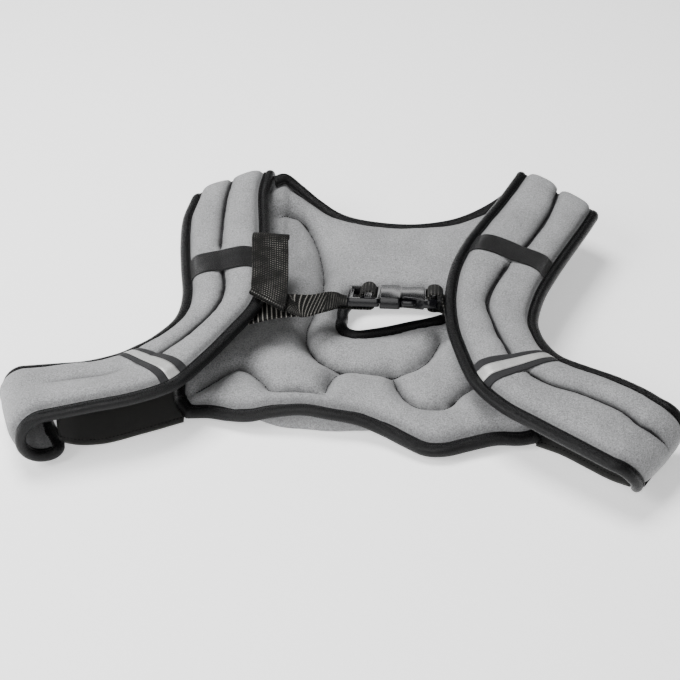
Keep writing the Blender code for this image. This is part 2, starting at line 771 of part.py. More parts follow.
def prism(outline, holes, low, high):
    """Return vertices and faces of a flat piece with holes, between two heights."""
    points = []
    edges = []
    for loop in [outline] + holes:
        start = len(points)
        points.extend(loop)
        edges.extend((start + k, start + (k + 1) % len(loop)) for k in range(len(loop)))
    plan, _, cells, _, _, _ = delaunay_2d_cdt([Vector(p) for p in points], edges, [], 0, 1e-4)
    plan = [tuple(p) for p in plan]
    kept = []
    for cell in cells:
        centre = np.mean([plan[k] for k in cell], axis=0)
        if inside(centre, outline) and not any(inside(centre, hole) for hole in holes):
            kept.append(cell)
    count = len(plan)
    vertices = [(*p, high) for p in plan] + [(*p, low) for p in plan]
    faces = [tuple(cell) for cell in kept] + [tuple(k + count for k in reversed(cell)) for cell in kept]
    rim = set()
    for cell in kept:
        for k in range(len(cell)):
            rim.add((cell[k], cell[(k + 1) % len(cell)]))
    faces += [(b, a, a + count, b + count) for a, b in rim if (b, a) not in rim]
    return vertices, faces


def rectangle(x0, x1, y0, y1):
    """Return the corners of a rectangle."""
    return [(x0, y0), (x1, y0), (x1, y1), (x0, y1)]


def mirrored(outline):
    """Return an outline turned over to the buckle's far side."""
    return [(x, BUCKLE_WIDTH - y) for x, y in reversed(outline)]


def buckle_solid(name, shape, tool_for=None, operation=None):
    """Add a buckle shape; with a piece to work on, hide it and join it to or cut it from that piece."""
    vertices, faces = shape
    made = add_object(name, [on_buckle(v) for v in vertices], faces, "buckle")
    if tool_for is not None:
        made.hide_render = True
        made.display_type = "WIRE"
        modifier = tool_for.modifiers.new(name, "BOOLEAN")
        modifier.operation = operation
        modifier.object = made
        modifier.solver = "EXACT"
    return made


def build_buckle():
    """Make the buckle's two halves: the ladder lock with its arms, and the socket around them."""
    width = BUCKLE_WIDTH
    slots = [rectangle(low, high, LOCK_RAIL, width - LOCK_RAIL) for low, high in LOCK_SLOTS]
    lock = prism(rectangle(0.0, LOCK_LENGTH, 0.0, width), slots, -LOCK_THICK / 2, LOCK_THICK / 2)
    plug = buckle_solid("buckle_plug", lock)
    start = LOCK_LENGTH + GAP
    end = start + SOCKET_LENGTH
    near, far, deep = BUTTON_WINDOW
    half_body = [
        (start, 0.0), (near, 0.0), (near, deep), (far, deep), (TAIL_START, TAIL_INSET), (end, TAIL_INSET),
    ]
    body = half_body + mirrored(half_body)
    bar_slot = rectangle(*BAR_SLOT, LOCK_RAIL, width - LOCK_RAIL)
    socket = buckle_solid("buckle_socket", prism(body, [bar_slot], -SOCKET_THICK / 2, SOCKET_THICK / 2))
    room = rectangle(start - 1.0, *ARM_ROOM)
    for number, turn_over in enumerate((list, mirrored)):
        arm = prism(turn_over(ARM_OUTLINE), [], -ARM_THICK / 2, ARM_THICK / 2)
        buckle_solid(f"plug_arm_{number}", arm, plug, "UNION")
        clearance = prism(turn_over(room), [], -ARM_THICK / 2 - GAP, ARM_THICK / 2 + GAP)
        buckle_solid(f"arm_room_{number}", clearance, socket, "DIFFERENCE")


def stand_on_origin():
    """Move everything so that the middle of the bottom of the whole vest's box is the origin."""
    shown = [made for made in bpy.data.objects if not made.hide_render]
    corners = np.array([vertex.co for made in shown for vertex in made.data.vertices])
    low = corners.min(axis=0)
    high = corners.max(axis=0)
    shift = Vector(((low[0] + high[0]) / 2, (low[1] + high[1]) / 2, low[2]))
    for made in bpy.data.objects:
        for vertex in made.data.vertices:
            vertex.co -= shift


def main():
    """Build every piece of the vest."""
    for old in list(bpy.data.objects):
        bpy.data.objects.remove(old, do_unlink=True)
    panel = Panel()
    build_panel(panel)
    build_panel_tapes(panel)
    for name, table, side in (("left_strap", STRAP_LEFT, 1.0), ("right_strap", STRAP_RIGHT, -1.0)):
        build_strap(name, table, side)
        build_strap_tapes(name, table, side)
        build_wing_tape(name, table, side)
        build_bands(name, table, side)
    build_ribbon("left_belt", belt_rows(BELT_LEFT), BELT, "belt")
    build_ribbon("right_belt", belt_rows(BELT_RIGHT), BELT, "belt")
    build_ribbon("chest_webbing", web_rows(), WEB, "webbing")
    build_ribbon("socket_webbing", socket_loop_rows(), WEB, "webbing")
    build_buckle()
    stand_on_origin()


main()
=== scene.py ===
"""Looks of a padded training vest that lies on its back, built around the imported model.

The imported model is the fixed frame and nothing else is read. Lengths are in millimetres and are
scaled to metres when a mesh is placed. X points to the wearer's left, Y to the neck and Z up.
Left and right in the names are as seen from above with the hem nearest, so left is toward -X.
"""
import logging
import math
from dataclasses import dataclass, field
from enum import Enum
from typing import Callable, Iterable, Sequence

import bpy
import numpy as np
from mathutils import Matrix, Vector
from mathutils.bvhtree import BVHTree
from mathutils.kdtree import KDTree


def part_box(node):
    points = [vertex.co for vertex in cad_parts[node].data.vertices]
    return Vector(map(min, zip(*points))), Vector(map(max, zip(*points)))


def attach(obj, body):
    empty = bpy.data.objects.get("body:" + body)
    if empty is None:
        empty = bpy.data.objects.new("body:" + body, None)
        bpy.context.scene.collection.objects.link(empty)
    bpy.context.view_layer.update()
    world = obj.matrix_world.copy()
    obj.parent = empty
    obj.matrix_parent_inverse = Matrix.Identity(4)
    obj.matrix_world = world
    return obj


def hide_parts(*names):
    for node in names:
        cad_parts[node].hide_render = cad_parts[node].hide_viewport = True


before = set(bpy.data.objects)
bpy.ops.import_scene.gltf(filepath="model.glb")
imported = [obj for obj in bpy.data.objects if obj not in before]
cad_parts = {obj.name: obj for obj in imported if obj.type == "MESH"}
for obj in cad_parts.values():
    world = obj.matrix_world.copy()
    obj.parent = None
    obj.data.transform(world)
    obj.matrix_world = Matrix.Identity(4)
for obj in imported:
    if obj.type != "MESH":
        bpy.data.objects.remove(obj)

log = logging.getLogger("vest")

MM = 0.001
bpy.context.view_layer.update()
Row = tuple[float, ...]
Points = np.ndarray
Lines = list[tuple[Points, Points]]
Piece = bpy.types.Object
Socket = bpy.types.NodeSocket
Outputs = bpy.types.NodeOutputs
Colour = tuple[float, float, float]
Wired = tuple[Socket, Socket | None, Socket]


class Side(Enum):
    """The side of the vest, as seen from above; the value turns a strap's normal outward."""

    LEFT = 1.0
    RIGHT = -1.0


class Face(Enum):
    """The face of a padded piece: the one that shows, or the one against the body or floor."""

    OUTER = 1.0
    INNER = -1.0


# Padded fabric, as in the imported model: half thickness where sewn flat, and heights of full lobes
FLAT = 2.0
RIM = 9.0
STRAP_TOP = 10.0
STRAP_BACK = 7.0
PANEL_TOP = 14.5
PANEL_BACK = 10.5
PANEL_MID = 10.0
EDGE_REACH = 34.0
START_FILL = 0.9
FLOOR_GAP = 0.3
FAR = 1e9

# How a strap's filling rises beside its edges and its sewn line, and where its columns lie in a lobe
EDGE_DOME = 14.0
SEAM_DOME = 11.0
SEAM_SHARE = 0.80
LOBE_STOPS = np.array([0, 0.04, 0.10, 0.18, 0.29, 0.42, 0.56, 0.69, 0.80, 0.89, 0.96, 1.0])
ROW_STEP = 3.0

# A strap's fold at the shoulder, and the round corners and lowest place of its wing's end
FOLD_ROWS = 14
FOLD_RADII = (5.5, 11.0)
FOLD_TUCK = 10.0
CORNER = 9.0
CURL_LOW = 8.2

# The back panel's filling, the bulge below its raised hem and the lip on the hole's near side
PANEL_EDGE_DOME = 18.0
PANEL_SEAM_DOME = 17.0
PANEL_SEAM_SHARE = 0.92
SNAP = 1.3
HEM_REACH = -95.0
HEM_RAISED = (11.5, 16.5)
HEM_BULGE = 13.0
HEM_OVERHANG = 12.5
HOLE_MIDDLE = 11.0
HOLE_LIP = 7.5
HOLE_LIP_REACH = 8.5

# Sewn lines pressed into the fabric, their puckers and painted shade, and the loose filling's unevenness
GROOVE = 2.3
GROOVE_WIDTH = 1.8
LINE_WIDTH = 1.5
PUCKER = 0.22
PUCKER_WIDTH = 6.5
SEAM_SHADE_WIDTH = 6.0
RIM_SHADE = 0.8
RIM_SHADE_FROM = 8.0
RIM_SHADE_WIDTH = 6.5
BROAD = 0.55
SMALL = 0.12

# Section of a folded tape, in from the edge and out from the fabric's middle, and its stitches
TAPE_SECTION: list[Row] = [
    (8.3, 2.7), (8.2, 3.3), (7.7, 3.6), (7.1, 3.42), (6.5, 3.05), (5.9, 3.4), (5.0, 4.1), (3.8, 4.35),
    (2.4, 4.3), (1.1, 3.95), (0.0, 3.3), (-0.8, 2.45), (-1.3, 1.4), (-1.55, 0.0),
]
TAPE_DEPTH = 8.3
TAPE_THICKNESS = 0.9
TAPE_STEP = 2.2
STITCH_IN = 6.5
STITCH_OUT = 3.3
STITCH_PITCH = 3.1

# Flat strips: widths, thickness and stitch lines, and the ribs of the chest webbing
DARK_BAND = 22.5
SILVER_BAND = 9.5
BELT_THICKNESS = 2.4
BELT_HEM = (4.5, 1.25)
RIB_PITCH = 3.9
RIB_SLANT = 0.22
RIB_HEIGHT = 0.6

# Straps: the inner and outer edge of each section, where its sewn line lies and how deep it pulls
STRAP_COLUMNS = ("inner_x", "inner_y", "inner_z", "outer_x", "outer_y", "outer_z", "seam_at", "seam")
SEAM_AT = STRAP_COLUMNS.index("seam_at")
SEAM = STRAP_COLUMNS.index("seam")

STRAP_LEFT: list[Row] = [
    (-117, 173, 60, -187, 138, 45, 0.50, 0.5),
    (-115, 137, 58, -187, 104, 43, 0.50, 1.0),
    (-102, 77, 58, -179, 63, 43, 0.53, 1.0),
    (-95, 37, 57, -169, 25, 42, 0.53, 0.2),
    (-87, -6, 55, -158, -15, 40, 0.50, 1.0),
    (-88, -38, 53, -157, -46, 38, 0.52, 1.0),
    (-100, -72, 50, -169, -72, 36, 0.52, 1.0),
    (-114, -110, 49, -182, -86, 34, 0.52, 0.9),
    (-131, -145, 48, -194, -97, 33, 0.52, 0.1),
    (-157, -167, 48, -216, -109, 32, 0.50, 0.25),
    (-190, -184, 48, -239, -116, 32, 0.50, 0.30),
    (-221, -199, 47, -266, -125, 33, 0.50, 0.10),
]
STRAP_RIGHT: list[Row] = [
    (113, 209, 59, 189, 165, 45, 0.50, 1.0),
    (99, 162, 58, 180, 136, 45, 0.56, 1.0),
    (82, 112, 57, 164, 88, 45, 0.58, 0.8),
    (73, 81, 57, 155, 59, 45, 0.55, 0.2),
    (66, 45, 55, 146, 25, 45, 0.50, 1.0),
    (65, 8, 52, 142, -10, 45, 0.45, 1.0),
    (69, -28, 50, 146, -33, 46, 0.50, 1.0),
    (78, -60, 48, 154, -51, 47, 0.52, 1.0),
    (95, -102, 46, 165, -63, 47, 0.50, 0.1),
    (118, -129, 45, 184, -72, 47, 0.52, 0.9),
    (147, -148, 44, 208, -82, 47, 0.58, 1.0),
    (178, -167, 43, 229, -93, 46, 0.60, 0.9),
    (203, -181, 41, 243, -103, 45, 0.56, 1.0),
]

# Outline of the back panel: x, y and the height of the edge above the surface
NECKLINE: list[Row] = [
    (-117, 170, 57), (-105, 178, 57), (-89, 175, 47), (-71, 169, 36), (-50, 162, 27),
    (-28, 158, 24), (6, 159, 22), (34, 165, 22), (61, 175, 25), (87, 189, 34), (113, 208, 48),
]
ARMHOLE_RIGHT: list[Row] = [
    (179, 164, 23), (166, 142, 18), (146, 100, 14), (136, 50, 12), (137, 0, 11),
    (146, -50, 9), (153, -85, 8), (156, -101, 8),
]
HEM: list[Row] = [
    (152, -118, 8), (138, -124, 8), (119, -128, 9), (99, -137, 8), (82, -146, 8), (65, -148, 8),
    (48, -142, 10), (29, -133, 12), (8, -128, 16), (-14, -128, 19), (-36, -127, 20),
    (-58, -130, 17), (-78, -133, 12), (-97, -131, 9), (-112, -129, 8), (-129, -132, 8),
]
ARMHOLE_LEFT: list[Row] = [
    (-139, -121, 9), (-145, -104, 9), (-149, -70, 9), (-150, -20, 11), (-148, 40, 12),
    (-152, 85, 14), (-162, 112, 18), (-178, 133, 21),
]
BACK_HOLE: list[Row] = [
    (-22, 28, 13), (-21, 10, 13), (-19, -8, 13), (-10, -15, 13), (8, -9, 13), (34, 5, 13),
    (56, 17, 13), (66, 28, 14), (66, 42, 14), (56, 51, 14), (22, 50, 14), (-12, 42, 13),
]

# Sewn lines that divide the back panel's filling
SEWN_LINES: dict[str, list[Row]] = {
    "ring": [
        (-106, 140), (-92, 147), (-78, 139), (-64, 114), (-54, 83), (-48, 50), (-49, 18), (-52, -10),
        (-47, -36), (-34, -55), (-14, -66), (12, -67), (38, -60), (54, -42), (64, -8),
    ],
    "left_mound": [
        (-128, -112), (-112, -90), (-100, -77), (-87, -79), (-74, -91), (-64, -103), (-44, -103),
        (-22, -102),
    ],
    "fork": [(-22, -102), (-20, -82), (-14, -68)],
    "right_lobe": [
        (29, -64), (36, -83), (47, -98), (62, -104), (77, -98), (88, -79), (100, -66), (124, -56),
    ],
}

# Flat side belts, from the rolled wing end to the back panel: near_x, near_y, far_x, far_y and z
BELT_LEFT: list[Row] = [
    (-217, -185, -241, -124, 14), (-206, -178, -230, -119, 6), (-190, -170, -214, -109, 2),
    (-160, -152, -184, -86, 1.8), (-131, -134, -144, -58, 3.0),
]
BELT_RIGHT: list[Row] = [
    (221.5, -162, 249.5, -110, 7.9), (208, -151, 236, -98, 3), (192, -140, 218, -84, 2),
    (172, -127, 190, -68, 1.8), (150, -119, 147, -50, 2.7),
]

# Chest webbing: near x, y, z and far x, y, z of each section, and the way round the ladder lock's
# middle bar in the buckle's own axes (along, up)
WEB_FIXED: list[Row] = [
    (-97, -54, 45.4, -96, -25, 46.3), (-88, -50, 46.6, -88, -22, 47.3), (-70, -43, 48.6, -70, -15, 48.6),
    (-46, -36, 49.0, -48, -9, 47.6), (-28, -23, 47.4, -31, 7, 42.4),
]
LOCK_LOOP: list[Row] = [
    (-6.0, -7.2), (4.0, -7.4), (14.0, -7.4), (21.5, -6.4), (23.7, -2.0), (23.5, 3.0), (21.4, 6.9),
    (17.4, 8.4), (13.4, 6.9), (10.8, 2.5), (10.2, -2.0), (6.4, -4.9), (-2.0, -4.9),
]
WEB_TAIL: list[Row] = [
    (-28, -25, 50.0, -31, 6, 45.6), (-46, -43, 52.5, -50, -12, 52.5), (-60, -46, 57.0, -92, -28, 61.5),
    (-64, -46, 58.0, -96, -30, 62.0),
]
TAIL_RISE: list[Row] = [
    (-64, -38, 61.0, -97, -22, 65.5), (-68, -8, 62.5, -101, 2, 67.0), (-74, 26, 65.5, -106, 26, 69.0),
    (-79, 56, 67.0, -110, 50, 70.0),
]
SOCKET_LOOP: list[Row] = [
    (77.5, -7.2), (71.5, -7.2), (68.7, -6.2), (68.0, -3.0), (68.0, 3.0), (68.9, 6.6), (72.0, 7.8),
    (76.6, 7.4), (79.6, 4.6), (80.2, 0.5),
]
SOCKET_TOP_END: list[Row] = [(69, -14, 43.9, 69, 17, 45.7), (77, -15, 43.6, 77, 16, 44.4)]
SOCKET_LOW_END: list[Row] = [(77.5, -15, 41.2, 77.5, 16, 42.0), (71, -14, 41.4, 71, 17, 42.4)]


def unit(vectors: Points) -> Points:
    """Return vectors at length one along their last axis."""
    return vectors / np.maximum(np.linalg.norm(vectors, axis=-1, keepdims=True), 1e-12)


def dome(share: Points, power: float = 2.0) -> Points:
    """Return a rounded rise from 0 to 1 at shares of its length, upright at its foot."""
    return (1 - (1 - np.clip(share, 0, 1)) ** power) ** (1 / power)


def slope(share: Points, power: float = 2.2) -> Points:
    """Return a rounded rise from 0 to 1 at shares of its length, as steep at its foot as the power."""
    return 1 - (1 - np.clip(share, 0, 1)) ** power


def smooth_rows(rows: Sequence[Row], step: float, closed: bool = False) -> Points:
    """Return rows on a smooth curve through a table's rows.

    Args:
        rows: The table; its first two or three columns are a place.
        step: The distance between the new rows, about.
        closed: Whether the curve comes back to its first row, which is then not repeated.

    Returns:
        An array with a row for each new point.
    """
    table = np.array(rows, float)
    if closed:
        padded = np.vstack([table[-1:], table, table[:2]])
    else:
        padded = np.vstack([2 * table[0] - table[1], table, 2 * table[-1] - table[-2]])
    result = []
    for before, start, end, after in zip(padded, padded[1:], padded[2:], padded[3:]):
        count = max(1, round(float(np.linalg.norm((end - start)[:3])) / step))
        t = (np.arange(count) / count)[:, None]
        bend = 2 * before - 5 * start + 4 * end - after
        turn = 3 * start - before - 3 * end + after
        result.append(0.5 * (2 * start + (end - before) * t + bend * t**2 + turn * t**3))
    if not closed:
        result.append(table[-1:])
    return np.vstack(result)


def flowing_rows(rows: Points, step: float) -> Points:
    """Return rows on a curve that doesn't overshoot where the table's rows lie unevenly apart.

    Args:
        rows: Near and far edge places, six columns.
        step: The distance between the new rows, about.

    Returns:
        The new rows.
    """
    gaps = np.maximum(np.linalg.norm(np.diff(rows, axis=0), axis=1), 1e-6)[:, None] / math.sqrt(2)
    slopes = np.diff(rows, axis=0) / gaps
    inner = (slopes[:-1] * gaps[1:] + slopes[1:] * gaps[:-1]) / (gaps[1:] + gaps[:-1])
    tangents = np.vstack([slopes[:1], inner, slopes[-1:]])
    result = []
    for i, gap in enumerate(gaps[:, 0]):
        t = np.linspace(0, 1, max(1, round(gap / step)), endpoint=False)[:, None]
        result.append(rows[i] * (2 * t**3 - 3 * t**2 + 1) + tangents[i] * gap * (t**3 - 2 * t**2 + t)
                      + rows[i + 1] * (3 * t**2 - 2 * t**3) + tangents[i + 1] * gap * (t**3 - t**2))
    return np.vstack([*result, rows[-1:]])


def travelled(points: Points) -> Points:
    """Return how far along a line of points each one is."""
    return np.concatenate([[0.0], np.cumsum(np.linalg.norm(np.diff(points, axis=0), axis=1))])


def read_along(table: Points, way: Points, places: Points) -> Points:
    """Return a table's rows, which lie at given ways along a line, at other places along it."""
    return np.stack([np.interp(places, way, column) for column in table.T], axis=1)


def ways_across(rows: Points, turn: float) -> tuple[Points, Points]:
    """Return for rows of near and far edges the unit way across and the outward normal.

    Args:
        rows: Near and far edge places in the first six columns.
        turn: 1 or -1, which side of the strip is outward.

    Returns:
        The ways across and the normals.
    """
    across = unit(rows[:, 3:6] - rows[:, 0:3])
    along = np.gradient((rows[:, 0:3] + rows[:, 3:6]) / 2, axis=0)
    return across, unit(np.cross(across, along)) * turn


def distance_to_line(points: Points, line: Points) -> tuple[Points, Points]:
    """Return each point's distance in plan to a line of straight pieces, and its place on it.

    Args:
        points: Plan points, two columns.
        line: The line's points, first two columns.

    Returns:
        The distances, and places whose whole part is the piece and whose rest is the share of it.
    """
    best = np.full(len(points), FAR)
    where = np.zeros(len(points))
    for i, (start, end) in enumerate(zip(line[:, :2], line[1:, :2])):
        span = end - start
        share = np.clip(((points - start) @ span) / (span @ span), 0, 1)
        gap = np.linalg.norm(points - (start + share[:, None] * span), axis=1)
        near = gap < best
        best[near] = gap[near]
        where[near] = i + share[near]
    return best, where


def at_place(line: Points, where: Points) -> Points:
    """Return the points of a line at places as distance_to_line gives them.

    Args:
        line: The line's points.
        where: The places.

    Returns:
        The points.
    """
    index = np.minimum(where.astype(int), len(line) - 2)
    share = (where - index)[:, None]
    return line[index] * (1 - share) + line[index + 1] * share


def inside(points: Points, loop: Points) -> Points:
    """Return which plan points lie inside a closed loop.

    Args:
        points: Plan points.
        loop: The loop's corners.

    Returns:
        True for each point inside.
    """
    result = np.zeros(len(points), bool)
    for (ax, ay), (bx, by) in zip(np.roll(loop[:, :2], 1, axis=0), loop[:, :2]):
        if ay != by:
            spans = (ay > points[:, 1]) != (by > points[:, 1])
            result ^= spans & (points[:, 0] < (bx - ax) * (points[:, 1] - ay) / (by - ay) + ax)
    return result


def read_points(mesh: bpy.types.Mesh) -> Points:
    """Return a mesh's points in millimetres.

    Args:
        mesh: The mesh.

    Returns:
        Its points.
    """
    places = np.empty(len(mesh.vertices) * 3, np.float32)
    mesh.vertices.foreach_get("co", places)
    return places.reshape(-1, 3).astype(float) / MM


def write_points(mesh: bpy.types.Mesh, places: Points) -> None:
    """Set a mesh's points from places in millimetres."""
    mesh.vertices.foreach_set("co", (places * MM).astype(np.float32).ravel())
    mesh.update()


def keep_values(mesh: bpy.types.Mesh, name: str, values: Points) -> None:
    """Keep a value for each of a mesh's points under a name."""
    mesh.attributes.new(name, "FLOAT", "POINT").data.foreach_set("value", values.astype(np.float32))


def pick(piece: Piece) -> None:
    """Select a piece alone and make it the active one.

    Args:
        piece: The piece.
    """
    bpy.ops.object.select_all(action="DESELECT")
    piece.select_set(True)
    bpy.context.view_layer.objects.active = piece


def keep_off_floor(piece: Piece) -> None:
    """Lift the points of a piece that would reach into the floor.

    Args:
        piece: The piece.
    """
    places = read_points(piece.data)
    places[:, 2] = np.maximum(places[:, 2], FLOOR_GAP)
    write_points(piece.data, places)


def tree_of(places: Points) -> KDTree:
    """Return a search tree of places.

    Args:
        places: The places, in the order of the tree's numbers.

    Returns:
        The tree.
    """
    tree = KDTree(len(places))
    for index, place in enumerate(places):
        tree.insert(place, index)
    tree.balance()
    return tree


def read_normals(mesh: bpy.types.Mesh) -> Points:
    """Return a mesh's normals at its points.

    Args:
        mesh: The mesh.

    Returns:
        Its normals.
    """
    normals = np.empty(len(mesh.vertices) * 3, np.float32)
    mesh.vertices.foreach_get("normal", normals)
    return normals.reshape(-1, 3).astype(float)


def outline_rows(step: float) -> dict[str, Points]:
    """Return the four sides of the back panel's outline, in the table's own axes."""
    sides = {"neck": NECKLINE, "right": ARMHOLE_RIGHT, "hem": HEM, "left": ARMHOLE_LEFT}
    return {name: smooth_rows(table, step) for name, table in sides.items()}


def frame_offset() -> Points:
    """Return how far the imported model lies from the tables' axes, measured on the back panel.

    Returns:
        The offset in millimetres.
    """
    outline = np.vstack(list(outline_rows(15.0).values()))
    low, high = (np.array(corner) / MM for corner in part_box("back_panel"))
    middle = (outline.min(axis=0) + outline.max(axis=0)) / 2
    return np.array([(low[0] + high[0]) / 2 - middle[0], (low[1] + high[1]) / 2 - middle[1], 0.0])


OFFSET = frame_offset()


def moved(rows: Iterable[Row]) -> Points:
    """Return a table of near and far edges, or of places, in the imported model's frame.

    Args:
        rows: The table.

    Returns:
        Its rows, moved.
    """
    table = np.array(list(rows), float)
    for start in range(0, min(table.shape[1], 6) // 3 * 3, 3):
        table[:, start:start + 3] += OFFSET
    return table


def moved_plan(rows: Iterable[Row]) -> Points:
    """Return a table of plan points, and any heights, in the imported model's frame.

    Args:
        rows: The table.

    Returns:
        Its rows, moved.
    """
    table = np.array(list(rows), float)
    table[:, :2] += OFFSET[:2]
    return table


def cloth_grid(name: str, places: Points, pattern: Points, marks: dict[str, Points]) -> Piece:
    """Add a grid primitive, lay its points on a surface and weld the points that meet.

    Args:
        name: The piece's name.
        places: Where the grid's points go, as rows, columns and three coordinates.
        pattern: The same points on the flat cloth, in centimetres.
        marks: Values to keep at the points, by name, as rows and columns.

    Returns:
        The piece, closed where the surface closes, with its faces turned outward.
    """
    rows, columns = places.shape[:2]
    bpy.ops.object.select_all(action="DESELECT")
    bpy.ops.mesh.primitive_grid_add(x_subdivisions=columns - 1, y_subdivisions=rows - 1, size=2 * MM)
    piece = bpy.context.active_object
    piece.name = name
    mesh = piece.data
    mesh.name = name
    spots = read_points(mesh)
    column = np.rint((spots[:, 0] + 1) / 2 * (columns - 1)).astype(int)
    row = np.rint((spots[:, 1] + 1) / 2 * (rows - 1)).astype(int)
    write_points(mesh, places[row, column])
    corners = np.empty(len(mesh.loops), np.int32)
    mesh.loops.foreach_get("vertex_index", corners)
    mesh.uv_layers.active.data.foreach_set("uv", pattern[row, column][corners].astype(np.float32).ravel())
    for mark, values in marks.items():
        keep_values(mesh, mark, values[row, column])
    weld(piece)
    return piece


def weld(piece: Piece) -> None:
    """Merge the points of a piece that meet and turn its faces outward.

    Args:
        piece: The piece.
    """
    pick(piece)
    bpy.ops.object.mode_set(mode="EDIT")
    bpy.ops.mesh.select_all(action="SELECT")
    bpy.ops.mesh.remove_doubles(threshold=0.02 * MM)
    bpy.ops.mesh.select_all(action="SELECT")
    bpy.ops.mesh.normals_make_consistent(inside=False)
    bpy.ops.object.mode_set(mode="OBJECT")
    bpy.ops.object.shade_smooth()


def apply(piece: Piece, kind: str, **settings: object) -> None:
    """Add a modifier with its settings to a piece and apply it.

    Args:
        piece: The piece.
        kind: The modifier's kind.
        settings: Its settings.
    """
    pick(piece)
    modifier = piece.modifiers.new(kind.title(), kind)
    for name, value in settings.items():
        setattr(modifier, name, value)
    bpy.ops.object.modifier_apply(modifier=modifier.name)


def shell(name: str, outer: Points, inner: Points, closed: bool = False,
          marks: dict[str, tuple[Points, Points]] | None = None) -> Piece:
    """Make a thin closed body between two surfaces that have the same rows and columns.

    Args:
        name: The piece's name.
        outer: The outer surface's places, as rows, columns and three coordinates.
        inner: The inner surface's places, in the same order.
        closed: Whether the rows come back to the first one, as round a hole.
        marks: Values to keep at the points of the outer and of the inner surface, by name.

    Returns:
        The piece, with a flat pattern in centimetres that follows its rows.
    """
    rows = np.concatenate([outer, inner[:, ::-1], outer[:, :1]], axis=1)
    if closed:
        rows = np.concatenate([rows, rows[:1]])
    else:
        middle = (outer + inner) / 2
        ends = np.concatenate([middle, middle[:, ::-1], middle[:, :1]], axis=1)
        rows = np.concatenate([ends[:1], rows, ends[-1:]])
    girth = np.linalg.norm(np.diff(rows, axis=1), axis=2).mean(axis=0)
    across = np.concatenate([[0.0], np.cumsum(girth)])
    along = travelled(rows.mean(axis=1))
    pattern = np.stack(np.broadcast_arrays(across[None, :], along[:, None]), axis=2) / 10
    kept = {}
    for mark, (over, under) in (marks or {}).items():
        values = np.concatenate([over, under[:, ::-1], over[:, :1]], axis=1)
        kept[mark] = values if closed else np.concatenate([values[:1], values, values[-1:]])
    return cloth_grid(name, rows, pattern, kept)


@dataclass(frozen=True)
class Inflation:
    """Cloth simulation that fills a padded piece between its sewn lines."""

    pressure: float = 4.0
    frames: int = 20
    cap: float = 3.0
    stiffness: float = 18.0
    bending: float = 2.0

    def run(self, piece: Piece) -> None:
        """Inflate a closed piece whose "held" attribute is 1 where it is sewn down, and keep its mesh.

        Args:
            piece: The piece.
        """
        held = np.empty(len(piece.data.vertices), np.float32)
        piece.data.attributes["held"].data.foreach_get("value", held)
        piece.data.attributes.remove(piece.data.attributes["held"])
        start = read_points(piece.data)
        group = piece.vertex_groups.new(name="held")
        for weight in np.unique(np.round(held, 1)):
            members = np.flatnonzero(np.round(held, 1) == weight).tolist()
            group.add(members, float(weight), "REPLACE")
        cloth = piece.modifiers.new("Filling", "CLOTH")
        cloth.settings.quality = 6
        cloth.settings.tension_stiffness = self.stiffness
        cloth.settings.compression_stiffness = self.stiffness
        cloth.settings.bending_stiffness = self.bending
        cloth.settings.use_pressure = True
        cloth.settings.uniform_pressure_force = self.pressure
        cloth.settings.vertex_group_mass = group.name
        cloth.settings.effector_weights.gravity = 0.0
        cloth.collision_settings.use_collision = False
        cloth.point_cache.frame_start = 1
        cloth.point_cache.frame_end = self.frames
        for number in range(1, self.frames + 1):
            bpy.context.scene.frame_set(number)
        pick(piece)
        bpy.ops.object.modifier_apply(modifier=cloth.name)
        bpy.context.scene.frame_set(1)
        way = read_points(piece.data) - start
        length = np.linalg.norm(way, axis=1, keepdims=True)
        reach = self.cap * np.tanh(length / self.cap)
        write_points(piece.data, start + way * reach / np.maximum(length, 1e-9))
        piece.vertex_groups.clear()


@dataclass(frozen=True)
class SewnLine:
    """A sewn line on a padded surface: its places, about 1 mm apart, and how deep it pulls at each."""

    places: Points
    depth: Points


@dataclass(frozen=True)
class Crease:
    """A small crease: its middle in plan, direction in degrees, length, width and height."""

    x: float
    y: float
    angle: float
    length: float
    width: float
    height: float


def unevenness(places: Points) -> Points:
    """Return the soft ups and downs of loose filling under cloth, in millimetres.

    Args:
        places: The surface's points.

    Returns:
        How far out each one moves.
    """
    x, y, z = places.T
    broad = np.sin(x / 9.5 + 1.4 * np.sin(y / 17)) * np.sin(y / 12.5 + 1.2 * np.sin(x / 21 + z / 15))
    small = np.sin(x / 4.3 + 1.7 * np.sin(y / 7.1)) * np.sin(y / 5.2 + 1.5 * np.sin(x / 8.3))
    return BROAD * broad + SMALL * small


